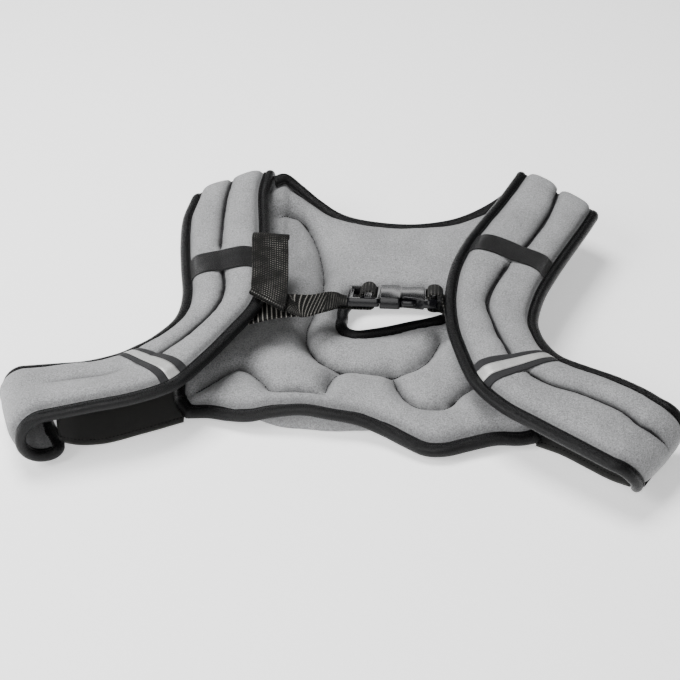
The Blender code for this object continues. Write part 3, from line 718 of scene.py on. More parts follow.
def press(piece: Piece, lines: Sequence[SewnLine], creases: Sequence[Crease], rims: Points) -> None:
    """Press sewn lines and creases into a finished surface, and mark the lines and painted shade for the
    finish.

    Args:
        piece: The padded piece.
        lines: Sewn lines on its surface.
        creases: Small creases on the face that shows.
        rims: Places close together along the bound edges, beside which shade is painted.
    """
    mesh = piece.data
    places = read_points(mesh)
    normals = read_normals(mesh)
    shift = unevenness(places)
    mark = np.zeros(len(places))
    # Painted shade: a mark that darkens the finish in a band just inside the bound edges, where the filling
    # rounds away from the light and lies in shadow.
    tree = tree_of(rims)
    gap = np.array([tree.find(place)[2] for place in places])
    shade = RIM_SHADE * np.exp(-((np.maximum(gap - RIM_SHADE_FROM, 0) / RIM_SHADE_WIDTH) ** 2))
    for line in lines:
        tree = tree_of(line.places)
        found = [tree.find(place)[1:] for place in places]
        index = np.array([item[0] for item in found])
        gap = np.array([item[1] for item in found])
        depth = line.depth[index]
        wave = np.sin(index / 1.55 + 1.7 * np.sin(index / 23)) * (0.6 + 0.4 * np.sin(index / 7.3))
        beside = np.exp(-(gap / PUCKER_WIDTH) ** 2) * (1 - np.exp(-(gap / 2.2) ** 2))
        pucker = PUCKER * wave * beside
        shift += depth * (pucker - GROOVE * np.exp(-(gap / GROOVE_WIDTH) ** 2))
        mark = np.maximum(mark, depth * np.exp(-(gap / LINE_WIDTH) ** 2))
        # Painted shade along each sewn line too, where its groove lies in shadow.
        shade = np.maximum(shade, depth * np.exp(-((gap / SEAM_SHADE_WIDTH) ** 2)))
    for crease in creases:
        turn = math.radians(crease.angle)
        way = places[:, :2] - np.array([crease.x, crease.y]) - OFFSET[:2]
        along = (way @ np.array([math.cos(turn), math.sin(turn)])) / crease.length
        aside = (way @ np.array([-math.sin(turn), math.cos(turn)])) / crease.width
        shift += crease.height * np.exp(-along**2 * 2 - aside**2) * (normals[:, 2] > 0.1)
    write_points(mesh, places + normals * shift[:, None])
    for name, values in (("seam", mark), ("shade", shade)):
        keep_values(mesh, name, values)


@dataclass
class PaddedStrap:
    """A padded two-lobe strap that folds over at the shoulder and ends in a rolled-in wing."""

    side: Side
    table: list[Row]
    curl_sweep: float
    curl_steps: int
    curl_drift: tuple[tuple[float, float], tuple[float, float]]
    label_at: float
    reflector_at: float
    label_width: float
    creases: tuple[Crease, ...] = ()
    inflation: Inflation = Inflation(cap=2.4)
    body: Piece | None = None
    rows: Points = field(init=False)
    across: Points = field(init=False)
    normal: Points = field(init=False)
    width: Points = field(init=False)
    way: Points = field(init=False)
    inset: Points = field(init=False)
    fill: Points = field(init=False)
    back_fill: Points = field(init=False)

    @property
    def name(self) -> str:
        """The strap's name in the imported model."""
        return f"{self.side.name.lower()}_strap"

    def __post_init__(self) -> None:
        """Work out the rows from the shoulder fold to the wing's rolled-in end."""
        body = smooth_rows(moved(self.table), ROW_STEP)
        turn = np.linspace(0, 1, FOLD_ROWS + 1)[:-1]
        roll = np.linspace(0, 0.9, round(self.curl_steps * 4.0) + 1)[1:]
        roll = np.concatenate([roll, 1 - 0.1 * np.cos(np.linspace(0, math.pi / 2, 9)[1:])])
        self.rows = np.vstack([self._fold(body[0], turn), body, self._curl(body[-1], roll)])
        left = self.curl_steps * (1 - roll)
        fold_fill = np.interp(turn, (0, 0.2, 0.4, 0.6, 0.8, 1), (0, 0.35, 0.6, 0.75, 0.9, 1))
        curl_fill = np.interp(left, (0, 1, 2, 3, 5, 6), (0, 0, 0.5, 0.72, 0.72, 1))
        squeeze = np.interp(left, (0, 5, 6), (0.6, 0.6, 1))
        self.fill = np.concatenate([fold_fill, np.ones(len(body)), curl_fill])
        self.back_fill = np.concatenate([0.35 * fold_fill, np.ones(len(body)), curl_fill * squeeze])
        self.across, self.normal = ways_across(self.rows, self.side.value)
        self.width = np.linalg.norm(self.rows[:, 3:6] - self.rows[:, 0:3], axis=1)
        self.way = travelled((self.rows[:, 0:3] + self.rows[:, 3:6]) / 2)
        short = np.maximum(CORNER - (self.way[-1] - self.way), 0)
        self.inset = CORNER - np.sqrt(np.maximum(CORNER**2 - short**2, 0))
        self.way -= self.way[FOLD_ROWS]

    def _fold(self, first: Points, turn: Points) -> Points:
        """Return rows that bring the strap up over the shoulder from its seam with the back panel.

        Args:
            first: The strap's first row.
            turn: How far over each row is, from 0 to 1.

        Returns:
            The rows.
        """
        rows = np.repeat(first[None, :], len(turn), axis=0)
        angle = math.pi * (1 - turn)
        for start, radius in zip((0, 3), FOLD_RADII):
            rows[:, start + 1] += radius * np.sin(angle)
            rows[:, start + 2] -= radius * (1 - np.cos(angle))
        rows[:, 3] += self.side.value * FOLD_TUCK * (1 - np.cos(angle)) / 2
        return rows

    def _curl(self, last: Points, roll: Points) -> Points:
        """Return rows that roll the wing's end down to the surface and back under itself.

        Args:
            last: The strap's last row.
            roll: How far rolled each row is, up to 1.

        Returns:
            The rows.
        """
        across = unit(last[3:5] - last[0:2])
        away = np.array([-across[1], across[0]]) * self.side.value
        rows = np.repeat(last[None, :], len(roll), axis=0)
        angle = math.radians(self.curl_sweep) * roll
        for start, drift in zip((0, 3), self.curl_drift):
            radius = (last[start + 2] - CURL_LOW) / 2
            rows[:, start:start + 2] += away * radius * np.sin(angle)[:, None]
            rows[:, start:start + 2] += np.array(drift) * roll[:, None] ** 1.5
            rows[:, start + 2] -= radius * (1 - np.cos(angle))
        rows[:, SEAM] = last[SEAM] * np.clip(1 - 1.6 * roll, 0, 1)
        return rows

    def stops(self) -> Points:
        """Return how far in from the inner edge each column of each row lies.

        Returns:
            The distances, as rows and columns.
        """
        middle = (self.width * self.rows[:, SEAM_AT])[:, None]
        low = self.inset[:, None]
        high = self.width[:, None] - low
        first = low + RIM + LOBE_STOPS * (middle - RIM - low)
        second = middle + LOBE_STOPS[1:] * (high - RIM - middle)
        return np.hstack([low, low + RIM / 2, first, second, high - RIM / 2, high])

    def surface(self, face: Face, fullness: float = 1.0) -> Points:
        """Return one face's places, as rows, columns and three coordinates.

        Args:
            face: Which face.
            fullness: The share of the filling.

        Returns:
            The places.
        """
        distance = self.stops()
        edge = np.minimum(distance, self.width[:, None] - distance) - self.inset[:, None] - RIM
        beside = np.abs(distance - (self.width * self.rows[:, SEAM_AT])[:, None])
        valley = 1 - SEAM_SHARE * self.rows[:, SEAM, None] * (1 - slope(beside / SEAM_DOME))
        fill = self.fill if face is Face.OUTER else self.back_fill
        full = (STRAP_TOP if face is Face.OUTER else STRAP_BACK) - FLAT
        height = FLAT + full * fullness * dome(edge / EDGE_DOME, 2.3) * valley * fill[:, None]
        place = self.rows[:, None, 0:3] + self.across[:, None, :] * distance[:, :, None]
        return place + self.normal[:, None, :] * height[:, :, None] * face.value

    def held(self) -> Points:
        """Return how firmly each point of a face is sewn down.

        Returns:
            1 where it is sewn down and 0 where it is free.
        """
        distance = self.stops()
        edge = np.minimum(distance, self.width[:, None] - distance) - self.inset[:, None] <= RIM
        beside = np.abs(distance - (self.width * self.rows[:, SEAM_AT])[:, None]) < 0.5
        held = np.maximum(edge * 1.0, beside * np.clip(self.rows[:, SEAM, None] * 1.5, 0, 1))
        held[:2] = 1.0
        held[-6:] = 1.0
        return held

    def seams(self) -> list[SewnLine]:
        """Return the sewn line on both faces.

        Returns:
            The line on each face.
        """
        column = 2 + len(LOBE_STOPS) - 1
        depth = np.clip((self.rows[:, SEAM] - 0.12) / 0.5, 0, 1) * np.clip(self.fill * 1.3, 0, 1)
        depth = np.where(self.way < -8, 0, depth)
        lines = []
        for face in Face:
            line = self.surface(face, START_FILL)[:, column]
            way = travelled(line)
            fine = np.arange(0, way[-1], 1.0)
            lines.append(SewnLine(read_along(line, way, fine), np.interp(fine, way, depth)))
        return lines

    def build(self) -> Piece:
        """Make the padded body.

        Returns:
            The piece.
        """
        outer, inner = (self.surface(face, START_FILL) for face in Face)
        self.body = shell(f"{self.name}_padding", outer, inner, marks={"held": (self.held(), self.held())})
        self.inflation.run(self.body)
        apply(self.body, "SUBSURF", levels=1, render_levels=1)
        press(self.body, self.seams(), self.creases, self.edge()[0])
        keep_off_floor(self.body)
        return self.body

    def edge(self) -> tuple[Points, Points, Points]:
        """Return the edge from the inner side round the wing's end to the outer side.

        Returns:
            Its places, the way into the fabric at each, and the outward normal.
        """
        inset = self.inset[:, None]
        share = np.linspace(inset[-1, 0], self.width[-1] - inset[-1, 0], 26)[1:-1, None]
        inner = self.rows[:, 0:3] + self.across * inset
        outer = self.rows[:, 3:6] - self.across * inset
        places = np.vstack([inner, self.rows[-1, 0:3] + self.across[-1] * share, outer[::-1]])
        end = np.repeat(self.normal[-1:], len(share), axis=0)
        normal = np.vstack([self.normal, end, self.normal[::-1]])
        inward = np.cross(unit(np.gradient(places, axis=0)), normal) * self.side.value
        return places, unit(inward), normal


@dataclass
class BackPanel:
    """The padded back panel with its bound hole, filled between sewn lines."""

    columns: int = 104
    rows: int = 96
    creases: tuple[Crease, ...] = ()
    inflation: Inflation = Inflation(cap=3.0)
    body: Piece | None = None
    sides: dict[str, Points] = field(init=False)
    outline: Points = field(init=False)
    hole: Points = field(init=False)
    lines: list[Points] = field(init=False)

    def __post_init__(self) -> None:
        """Work out the outline, the hole and the sewn lines."""
        self.sides = {name: moved_plan(rows) for name, rows in outline_rows(ROW_STEP).items()}
        self.outline = np.vstack(list(self.sides.values()))
        self.hole = moved_plan(smooth_rows(BACK_HOLE, ROW_STEP, closed=True))
        self.lines = [moved_plan(smooth_rows(line, 1.0)) for line in SEWN_LINES.values()]

    def plan(self) -> Points:
        """Return the plan places of a grid that fills the outline, as rows and columns.

        Returns:
            The places.
        """
        left, right = self.sides["left"], self.sides["right"][::-1]
        low = np.vstack([left[:1], self.sides["hem"][::-1], right[:1]])
        high = np.vstack([left[-1:], self.sides["neck"], right[-1:]])
        u, v = self._shares(self.columns), self._shares(self.rows)
        edges = ((low, u), (high, u), (left, v), (right, v))
        low, high, left, right = (self._at(line, share) for line, share in edges)
        u, v = u[None, :, None], v[:, None, None]
        corners = ((1 - u) * (1 - v) * low[0] + u * (1 - v) * low[-1]
                   + (1 - u) * v * high[0] + u * v * high[-1])
        grid = (1 - v) * low[None] + v * high[None] + (1 - u) * left[:, None] + u * right[:, None] - corners
        flat = grid.reshape(-1, 2)
        for line in self.lines:
            gap, where = distance_to_line(flat, line)
            near = gap < SNAP
            flat[near] = at_place(line[:, :2], where)[near]
        return flat.reshape(grid.shape)

    @staticmethod
    def _shares(count: int) -> Points:
        """Return grid shares from 0 to 1 that are close together in the rim."""
        rim = np.array([0.0, 0.002, 0.013])
        return np.concatenate([rim, np.linspace(0.026, 0.974, count - 6), 1 - rim[::-1]])

    @staticmethod
    def _at(line: Points, shares: Points) -> Points:
        """Return plan places at shares of a line's length."""
        way = travelled(line[:, :2])
        return read_along(line[:, :2], way, shares * way[-1])

    def middle(self, points: Points) -> tuple[Points, Points]:
        """Return how far plan points lie from an edge, and the height of the cloth's middle there.

        Args:
            points: Plan points.

        Returns:
            The distances and the heights.
        """
        height = np.full(len(points), PANEL_MID)
        nearest = np.full(len(points), FAR)
        for loop in (self.outline, self.hole):
            ring = np.vstack([loop, loop[:1]])
            gap, where = distance_to_line(points, ring)
            height += (at_place(ring, where)[:, 2] - PANEL_MID) * np.exp(-gap / EDGE_REACH)
            nearest = np.minimum(nearest, gap)
            if loop is self.hole:
                near_side = np.clip((HOLE_MIDDLE + 0.3 * points[:, 0] - points[:, 1]) / 16, 0, 1)
                height += HOLE_LIP * near_side * np.exp(-((gap / HOLE_LIP_REACH) ** 2))
        return nearest, height

    def surfaces(self, points: Points, fullness: float = 1.0) -> tuple[Points, Points, Points]:
        """Return the heights of both faces at plan points, and how firmly each is sewn down.

        Args:
            points: Plan points.
            fullness: The share of the filling.

        Returns:
            The heights of the outer and inner face, and 1 where they are sewn down.
        """
        nearest, middle = self.middle(points)
        lobe = dome((nearest - RIM) / PANEL_EDGE_DOME, 2.2)
        held = (nearest <= RIM) * 1.0
        for line in self.lines:
            gap, _ = distance_to_line(points, line)
            lobe = lobe * (1 - PANEL_SEAM_SHARE * (1 - slope(gap / PANEL_SEAM_DOME, 2.4)))
            held = np.maximum(held, (gap < 0.8) * 1.0)
        outer = middle + FLAT + (PANEL_TOP - FLAT) * lobe * fullness
        drop = dome((nearest - RIM + 1.5) / 9.0, 2.2) * self._raised(points, middle)
        back = (PANEL_BACK - FLAT) * np.maximum(lobe, 0)
        inner = np.maximum(middle - FLAT - back - HEM_BULGE * drop, FLOOR_GAP)
        return outer, inner, held

    def build(self) -> Piece:
        """Make the padded body.

        Returns:
            The piece.
        """
        plan = self.plan()
        flat = plan.reshape(-1, 2)
        outer_z, inner_z, held = self.surfaces(flat, START_FILL)
        shape = plan.shape[:2]
        outer = np.dstack([plan, outer_z.reshape(shape)])
        inner = np.dstack([plan, inner_z.reshape(shape)])
        inner[:, :, 1] -= self._overhang(flat).reshape(shape)
        held = held.reshape(shape)
        on_floor = np.maximum(held, inner[:, :, 2] < 1.5)
        self.body = shell("back_padding", outer, inner, marks={"held": (held, on_floor)})
        self._open_hole()
        self.inflation.run(self.body)
        apply(self.body, "SUBSURF", levels=1, render_levels=1)
        press(self.body, self.seams(), self.creases, np.vstack([self.outline, self.hole]))
        keep_off_floor(self.body)
        return self.body

    def _overhang(self, points: Points) -> Points:
        """Return how far the underside bulges out below the raised hem at plan points."""
        nearest, middle = self.middle(points)
        return HEM_OVERHANG * self._raised(points, middle) * np.exp(-((nearest - 15) / 7) ** 2)

    @staticmethod
    def _raised(points: Points, middle: Points) -> Points:
        """Return, from 0 to 1, how far plan points lie under the raised part of the hem."""
        low, high = HEM_RAISED
        return np.clip((middle - low) / (high - low), 0, 1) * (points[:, 1] < HEM_REACH)

    def _open_hole(self) -> None:
        """Cut the hole and close its edge."""
        mesh = self.body.data
        places = read_points(mesh)
        within = inside(places[:, :2], self.hole)
        bpy.ops.object.mode_set(mode="EDIT")
        bpy.ops.mesh.select_mode(type="FACE")
        bpy.ops.mesh.select_all(action="DESELECT")
        bpy.ops.object.mode_set(mode="OBJECT")
        for polygon in mesh.polygons:
            polygon.select = any(within[index] for index in polygon.vertices)
        bpy.ops.object.mode_set(mode="EDIT")
        bpy.ops.mesh.delete(type="FACE")
        bpy.ops.mesh.select_mode(type="VERT")
        bpy.ops.mesh.select_all(action="SELECT")
        bpy.ops.mesh.delete_loose()
        bpy.ops.object.mode_set(mode="OBJECT")
        uses = np.zeros(len(mesh.edges), int)
        edges = np.empty(len(mesh.loops), np.int32)
        mesh.loops.foreach_get("edge_index", edges)
        np.add.at(uses, edges, 1)
        rim = sorted({index for edge in mesh.edges if uses[edge.index] == 1 for index in edge.vertices})
        places = read_points(mesh)
        ring = np.vstack([self.hole, self.hole[:1]])
        _, where = distance_to_line(places[rim][:, :2], ring)
        places[rim] = at_place(ring, where)
        write_points(mesh, places)
        weld(self.body)

    def seams(self) -> list[SewnLine]:
        """Return the sewn lines on both faces.

        Returns:
            The lines, first on the outer and then on the inner face.
        """
        lines = []
        for plan in self.lines:
            outer, inner, _ = self.surfaces(plan[:, :2], START_FILL)
            fade = np.clip(np.minimum(np.arange(len(plan)), np.arange(len(plan))[::-1]) / 12.0, 0.15, 1)
            for height in (outer, inner):
                lines.append(SewnLine(np.column_stack([plan[:, :2], height]), fade))
        return lines


@dataclass
class Binding:
    """Tape folded over an edge and sewn down along both faces."""

    name: str
    closed: bool = False
    size: float = 1.0

    def build(self, edge: Points, inward: Points, normal: Points) -> Piece:
        """Make the tape.

        Args:
            edge: Places along the bound edge.
            inward: The way from each into the fabric.
            normal: The way out of the fabric's outer face at each.

        Returns:
            The piece.
        """
        half = np.array(TAPE_SECTION)
        loop = np.vstack([half, half[-2::-1] * (1, -1)]) * self.size
        turn = unit(np.gradient(loop, axis=0))
        inner = loop + TAPE_THICKNESS * np.column_stack([-turn[:, 1], turn[:, 0]])
        outer, inner = (self._lay(section, edge, inward, normal) for section in (loop, inner))
        return shell(self.name, outer, inner, closed=self.closed)

    @staticmethod
    def _lay(section: Points, edge: Points, inward: Points, normal: Points) -> Points:
        """Return a section's places along an edge."""
        deep, high = section[None, :, 0:1], section[None, :, 1:2]
        return edge[:, None] + inward[:, None] * deep + normal[:, None] * high

    @staticmethod
    def stitch_lines(edge: Points, inward: Points, normal: Points) -> Lines:
        """Return the places and outward ways of the two stitch lines."""
        middle = edge + inward * STITCH_IN
        return [(middle + normal * STITCH_OUT * way, normal * way) for way in (1, -1)]


def cut_edge(edge: Points, inward: Points, normal: Points, closed: bool = False) -> tuple[Points, ...]:
    """Return an edge with its ways at equal steps along it.

    Args:
        edge: Places along the edge.
        inward: The way into the fabric at each.
        normal: The way out of its face at each.
        closed: Whether the edge is a loop.

    Returns:
        The places and the two ways.
    """
    table = np.hstack([edge, inward, normal])
    if closed:
        table = np.vstack([table, table[:1]])
    way = travelled(table[:, :3])
    count = max(3, round(way[-1] / TAPE_STEP))
    cut = read_along(table, way, np.linspace(0, way[-1], count + 1))
    if closed:
        cut = cut[:-1]
    return cut[:, 0:3], unit(cut[:, 3:6]), unit(cut[:, 6:9])


@dataclass
class Thread:
    """Stitches along lines, each a short rounded length of thread."""

    name: str
    pitch: float = STITCH_PITCH
    share: float = 0.72
    radius: float = 0.42
    lines: Lines = field(default_factory=list)

    def build(self) -> Piece:
        """Make all the stitches as one piece.

        Returns:
            The piece.
        """
        bpy.ops.object.select_all(action="DESELECT")
        bpy.ops.mesh.primitive_uv_sphere_add(segments=6, ring_count=4, radius=MM)
        piece = bpy.context.active_object
        piece.name = piece.data.name = self.name
        ball = read_points(piece.data)
        stitches = (self._cut(*line) for line in self.lines)
        starts, ends, ups = (np.vstack(group) for group in zip(*stitches))
        apply(piece, "ARRAY", count=len(starts), use_relative_offset=False, use_constant_offset=True,
              constant_offset_displace=(0.01, 0, 0), use_merge_vertices=False)
        middle = (starts + ends) / 2
        half = (ends - starts) / 2 * self.share
        length = np.linalg.norm(half, axis=1, keepdims=True)
        along = half / np.maximum(length, 1e-9)
        side = unit(np.cross(ups, along))
        up = np.cross(along, side)
        frame_ways = (along * np.maximum(length, self.radius), side * self.radius, up * self.radius * 0.8)
        turned = sum(ball[None, :, k, None] * way[:, None] for k, way in enumerate(frame_ways))
        write_points(piece.data, (middle[:, None] + turned).reshape(-1, 3))
        bpy.ops.object.shade_smooth()
        return piece

    def _cut(self, places: Points, ups: Points) -> tuple[Points, Points, Points]:
        """Return the starts, ends and upward ways of a line's stitches.

        Args:
            places: The line's points.
            ups: The way out of the surface at each.

        Returns:
            The starts, ends and ways.
        """
        way = travelled(places)
        knots = np.arange(0, way[-1], self.pitch)
        cut = read_along(places, way, knots)
        return cut[:-1], cut[1:], unit(read_along(ups, way, knots))[:-1]


def strap_binding(strap: PaddedStrap, thread: Thread) -> Piece:
    """Bind a strap's edge in one run round the wing's end, and add its stitch lines to a thread.

    Args:
        strap: The strap.
        thread: The thread.

    Returns:
        The tape.
    """
    ways = cut_edge(*strap.edge())
    thread.lines += Binding.stitch_lines(*ways)
    return Binding(f"{strap.name}_binding").build(*ways)


def panel_bindings(panel: BackPanel, thread: Thread) -> dict[str, Piece]:
    """Bind the back panel's sides and its hole, and add their stitch lines to a thread.

    Args:
        panel: The panel.
        thread: The thread.

    Returns:
        The tapes by the edge's name.
    """
    made = {}
    sides = panel.sides
    hem = np.vstack([sides["right"][-3:], sides["hem"], sides["left"][:3]])
    sizes = {"neck": 1.12, "hem": 1.08}
    for name, line in {**sides, "hem": hem, "hole": panel.hole}.items():
        closed = name == "hole"
        ring = np.vstack([line[-1:], line, line[:1]]) if closed else line
        along = unit(np.gradient(ring[:, :2], axis=0))
        along = along[1:-1] if closed else along
        inward = np.column_stack([along[:, 1], -along[:, 0], np.zeros(len(along))])
        edge = np.column_stack([line[:, :2], panel.middle(line[:, :2])[1]])
        deep = edge + inward * TAPE_DEPTH
        deep[:, 2] = panel.middle(deep[:, :2])[1]
        inward = unit(deep - edge)
        normal = unit(np.array((0.0, 0.0, 1.0)) - inward * inward[:, 2:3])
        ways = cut_edge(edge, inward, normal, closed)
        made[name] = Binding(f"{name}_binding", closed, sizes.get(name, 1.0)).build(*ways)
        thread.lines += Binding.stitch_lines(*ways)
    return made


@dataclass
class Surface:
    """A finished piece's surface, for laying other pieces on it."""

    piece: Piece
    tree: BVHTree = field(init=False)

    def __post_init__(self) -> None:
        """Read the surface."""
        self.tree = BVHTree.FromObject(self.piece, bpy.context.evaluated_depsgraph_get())

    def heights(self, places: Points, way: Points, reach: float = 30.0) -> Points:
        """Return how far out of each place along a way the surface lies, 0 where it is missed.

        Args:
            places: The places.
            way: The way out at each.
            reach: How far to look, in millimetres.

        Returns:
            The heights.
        """
        result = np.zeros(len(places))
        for index, (place, out) in enumerate(zip(places, way)):
            start = Vector((place + out * reach) * MM)
            hit = self.tree.ray_cast(start, Vector(-out), 2 * reach * MM)
            if hit[0] is not None:
                result[index] = reach - hit[3] / MM
        return result

    def runs(self, line: SewnLine, least: float = 0.4) -> Lines:
        """Return the parts of a sewn line that are pulled in, laid on the surface, with its normals.

        Args:
            line: The line.
            least: How deep it pulls where it is kept.

        Returns:
            The points and normals of each part.
        """
        found = [self.tree.find_nearest(Vector(place * MM)) for place in line.places]
        normals = np.array([np.array(item[1]) for item in found])
        places = np.array([np.array(item[0]) for item in found]) / MM + normals * 0.25
        kept = line.depth >= least
        starts = np.flatnonzero(kept & ~np.roll(kept, 1) | (kept & (np.arange(len(kept)) == 0)))
        result = []
        for start in starts:
            length = int(np.argmin(kept[start:])) or len(kept) - start
            if length > 6:
                result.append((places[start:start + length], normals[start:start + length]))
        return result


@dataclass
class Band:
    """A flat band sewn across a strap and held down at the strap's two bound edges."""

    name: str
    at: float
    width: float
    lift: float
    thickness: float
    bridging: float = 0.75
    inset: float = 6.9
    columns: int = 96
    length: float = 0.0

    def build(self, strap: PaddedStrap, surface: Surface) -> Piece:
        """Lay the band on a finished strap.

        Args:
            strap: The strap.
            surface: Its surface.

        Returns:
            The piece.
        """
        ways = self.at + np.linspace(-self.width / 2, self.width / 2, max(9, round(self.width / 1.2)))
        table = np.hstack([strap.rows, strap.normal])
        outer, inner = [], []
        for index, row in enumerate(read_along(table, strap.way, ways)):
            across = row[3:6] - row[0:3]
            width = np.linalg.norm(across)
            share = np.linspace(self.inset, width - self.inset, self.columns) / width
            base = row[0:3] + across * share[:, None]
            normal = unit(row[-3:])
            found = surface.heights(base, np.repeat(normal[None], self.columns, axis=0))
            height = self._bridged(found, share * width)
            end = np.minimum(share, 1 - share) * width
            height = np.minimum(height + self.lift, 2.0 + np.maximum(end - self.inset, 0) * 3.2)
            rim = min(index, len(ways) - 1 - index)
            thick = self.thickness * (1 if rim > 0 else 0.45)
            outer.append(base + normal * (height + thick)[:, None])
            inner.append(base + normal * height[:, None])
        self.length = float(travelled(outer[len(outer) // 2])[-1])
        return shell(self.name, np.array(outer), np.array(inner))

    def _bridged(self, height: Points, along: Points) -> Points:
        """Return heights with the dips between high places partly spanned, as taut fabric does.

        Args:
            height: The heights.
            along: Where across the strap each one is.

        Returns:
            The new heights.
        """
        taut = height.copy()
        left = 0
        while left < len(height) - 1:
            rise = (height[left + 1:] - height[left]) / (along[left + 1:] - along[left])
            step = left + 1 + int(np.argmax(rise))
            taut[left:step + 1] = np.interp(along[left:step + 1], along[[left, step]], height[[left, step]])
            left = step
        kernel = np.array([1, 2, 3, 2, 1]) / 9
        mixed = height + (taut - height) * self.bridging
        return np.maximum(np.convolve(np.pad(mixed, 2, mode="edge"), kernel, mode="valid"), height)


@dataclass
class Ribbon:
    """A woven strip between two edge lines, with rounded selvedges."""

    name: str
    rows: Points
    thickness: float
    columns: int = 20
    ribs: Points | None = None

    def build(self) -> Piece:
        """Make the strip.

        Returns:
            The piece.
        """
        _, normal = ways_across(self.rows, 1.0)
        share = (1 - np.cos(np.linspace(0, math.pi, self.columns))) / 2
        width = np.linalg.norm(self.rows[:, 3:6] - self.rows[:, 0:3], axis=1)[:, None]
        near, far = self.rows[:, None, 0:3], self.rows[:, None, 3:6]
        middle = near * (1 - share[None, :, None]) + far * share[None, :, None]
        edge = np.minimum(share, 1 - share)[None, :] * width
        half = self.thickness / 2 * (0.35 + 0.65 * dome(edge / 1.4))
        along = travelled((self.rows[:, 0:3] + self.rows[:, 3:6]) / 2)[:, None]
        ribs = np.zeros(len(self.rows)) if self.ribs is None else self.ribs
        turn = 2 * math.pi * (along + RIB_SLANT * share[None, :] * width) / RIB_PITCH
        ridge = ribs[:, None] * (0.5 + 0.5 * np.cos(turn)) ** 3
        half = half + ridge * RIB_HEIGHT
        out = normal[:, None, :]
        over, under = (middle + out * half[:, :, None] * way for way in (1, -1))
        ribbed = 0 * ridge + ribs[:, None]
        return shell(self.name, over, under, marks={"ridge": (ridge, ridge), "ribbed": (ribbed, ribbed)})

    @property
    def length(self) -> float:
        """The strip's length in millimetres."""
        return float(travelled((self.rows[:, 0:3] + self.rows[:, 3:6]) / 2)[-1])

    @property
    def width(self) -> float:
        """The strip's mean width in millimetres, square to its length.

        Returns:
            The width.
        """
        across = self.rows[:, 3:6] - self.rows[:, 0:3]
        along = unit(np.gradient((self.rows[:, 0:3] + self.rows[:, 3:6]) / 2, axis=0))
        return float(np.linalg.norm(np.cross(across, along), axis=1).mean())


def hem_line(rows: Points, inset: float, lift: float) -> Lines:
    """Return a line of stitches along a strip's near edge, on both of its faces.

    Args:
        rows: The strip's rows.
        inset: How far in from its edge.
        lift: How far off its middle.

    Returns:
        The line on each face.
    """
    across, normal = ways_across(rows, 1.0)
    middle = rows[:, 0:3] + across * inset
    return [(middle + normal * lift * way, normal * way) for way in (1, -1)]


def belt_rows(table: list[Row]) -> Points:
    """Return a side belt's table as fine rows of near and far edges."""
    rows = [(near_x, near_y, z, far_x, far_y, z) for near_x, near_y, far_x, far_y, z in table]
    return flowing_rows(moved(rows), 2.5)


@dataclass(frozen=True)
class BucklePlace:
    """Where the buckle sits: its corner, turn and roll, with the ways along, across and up."""

    corner: Row = (-16.7, -16.0, 56.0)
    turn: float = 5.2
    roll: float = 19.0
    width: float = 42.0
    lock_thick: float = 7.0

    def ways(self) -> Points:
        """Return the unit ways along, across and up.

        Returns:
            The three ways as rows.
        """
        turn, roll = math.radians(self.turn), math.radians(self.roll)
        along = np.array([math.cos(turn), math.sin(turn), 0.0])
        level = math.cos(roll)
        across = np.array([-math.sin(turn) * level, math.cos(turn) * level, -math.sin(roll)])
        return np.array([along, across, np.cross(along, across)])

    def put(self, points: Points) -> Points:
        """Return the places of points given along, across and up from the buckle's corner."""
        ways = self.ways()
        return np.array(self.corner) + OFFSET - ways[2] * self.lock_thick / 2 + np.asarray(points) @ ways

    def loop(self, route: Sequence[Row], web_width: float) -> Points:
        """Return webbing rows that follow a route of (along, up) through a slot.

        Args:
            route: The route.
            web_width: The webbing's width.

        Returns:
            The rows.
        """
        near = (self.width - web_width) / 2
        edges = [self.put([(a, y, u) for a, u in route]) for y in (near, near + web_width)]
        return np.hstack(edges)


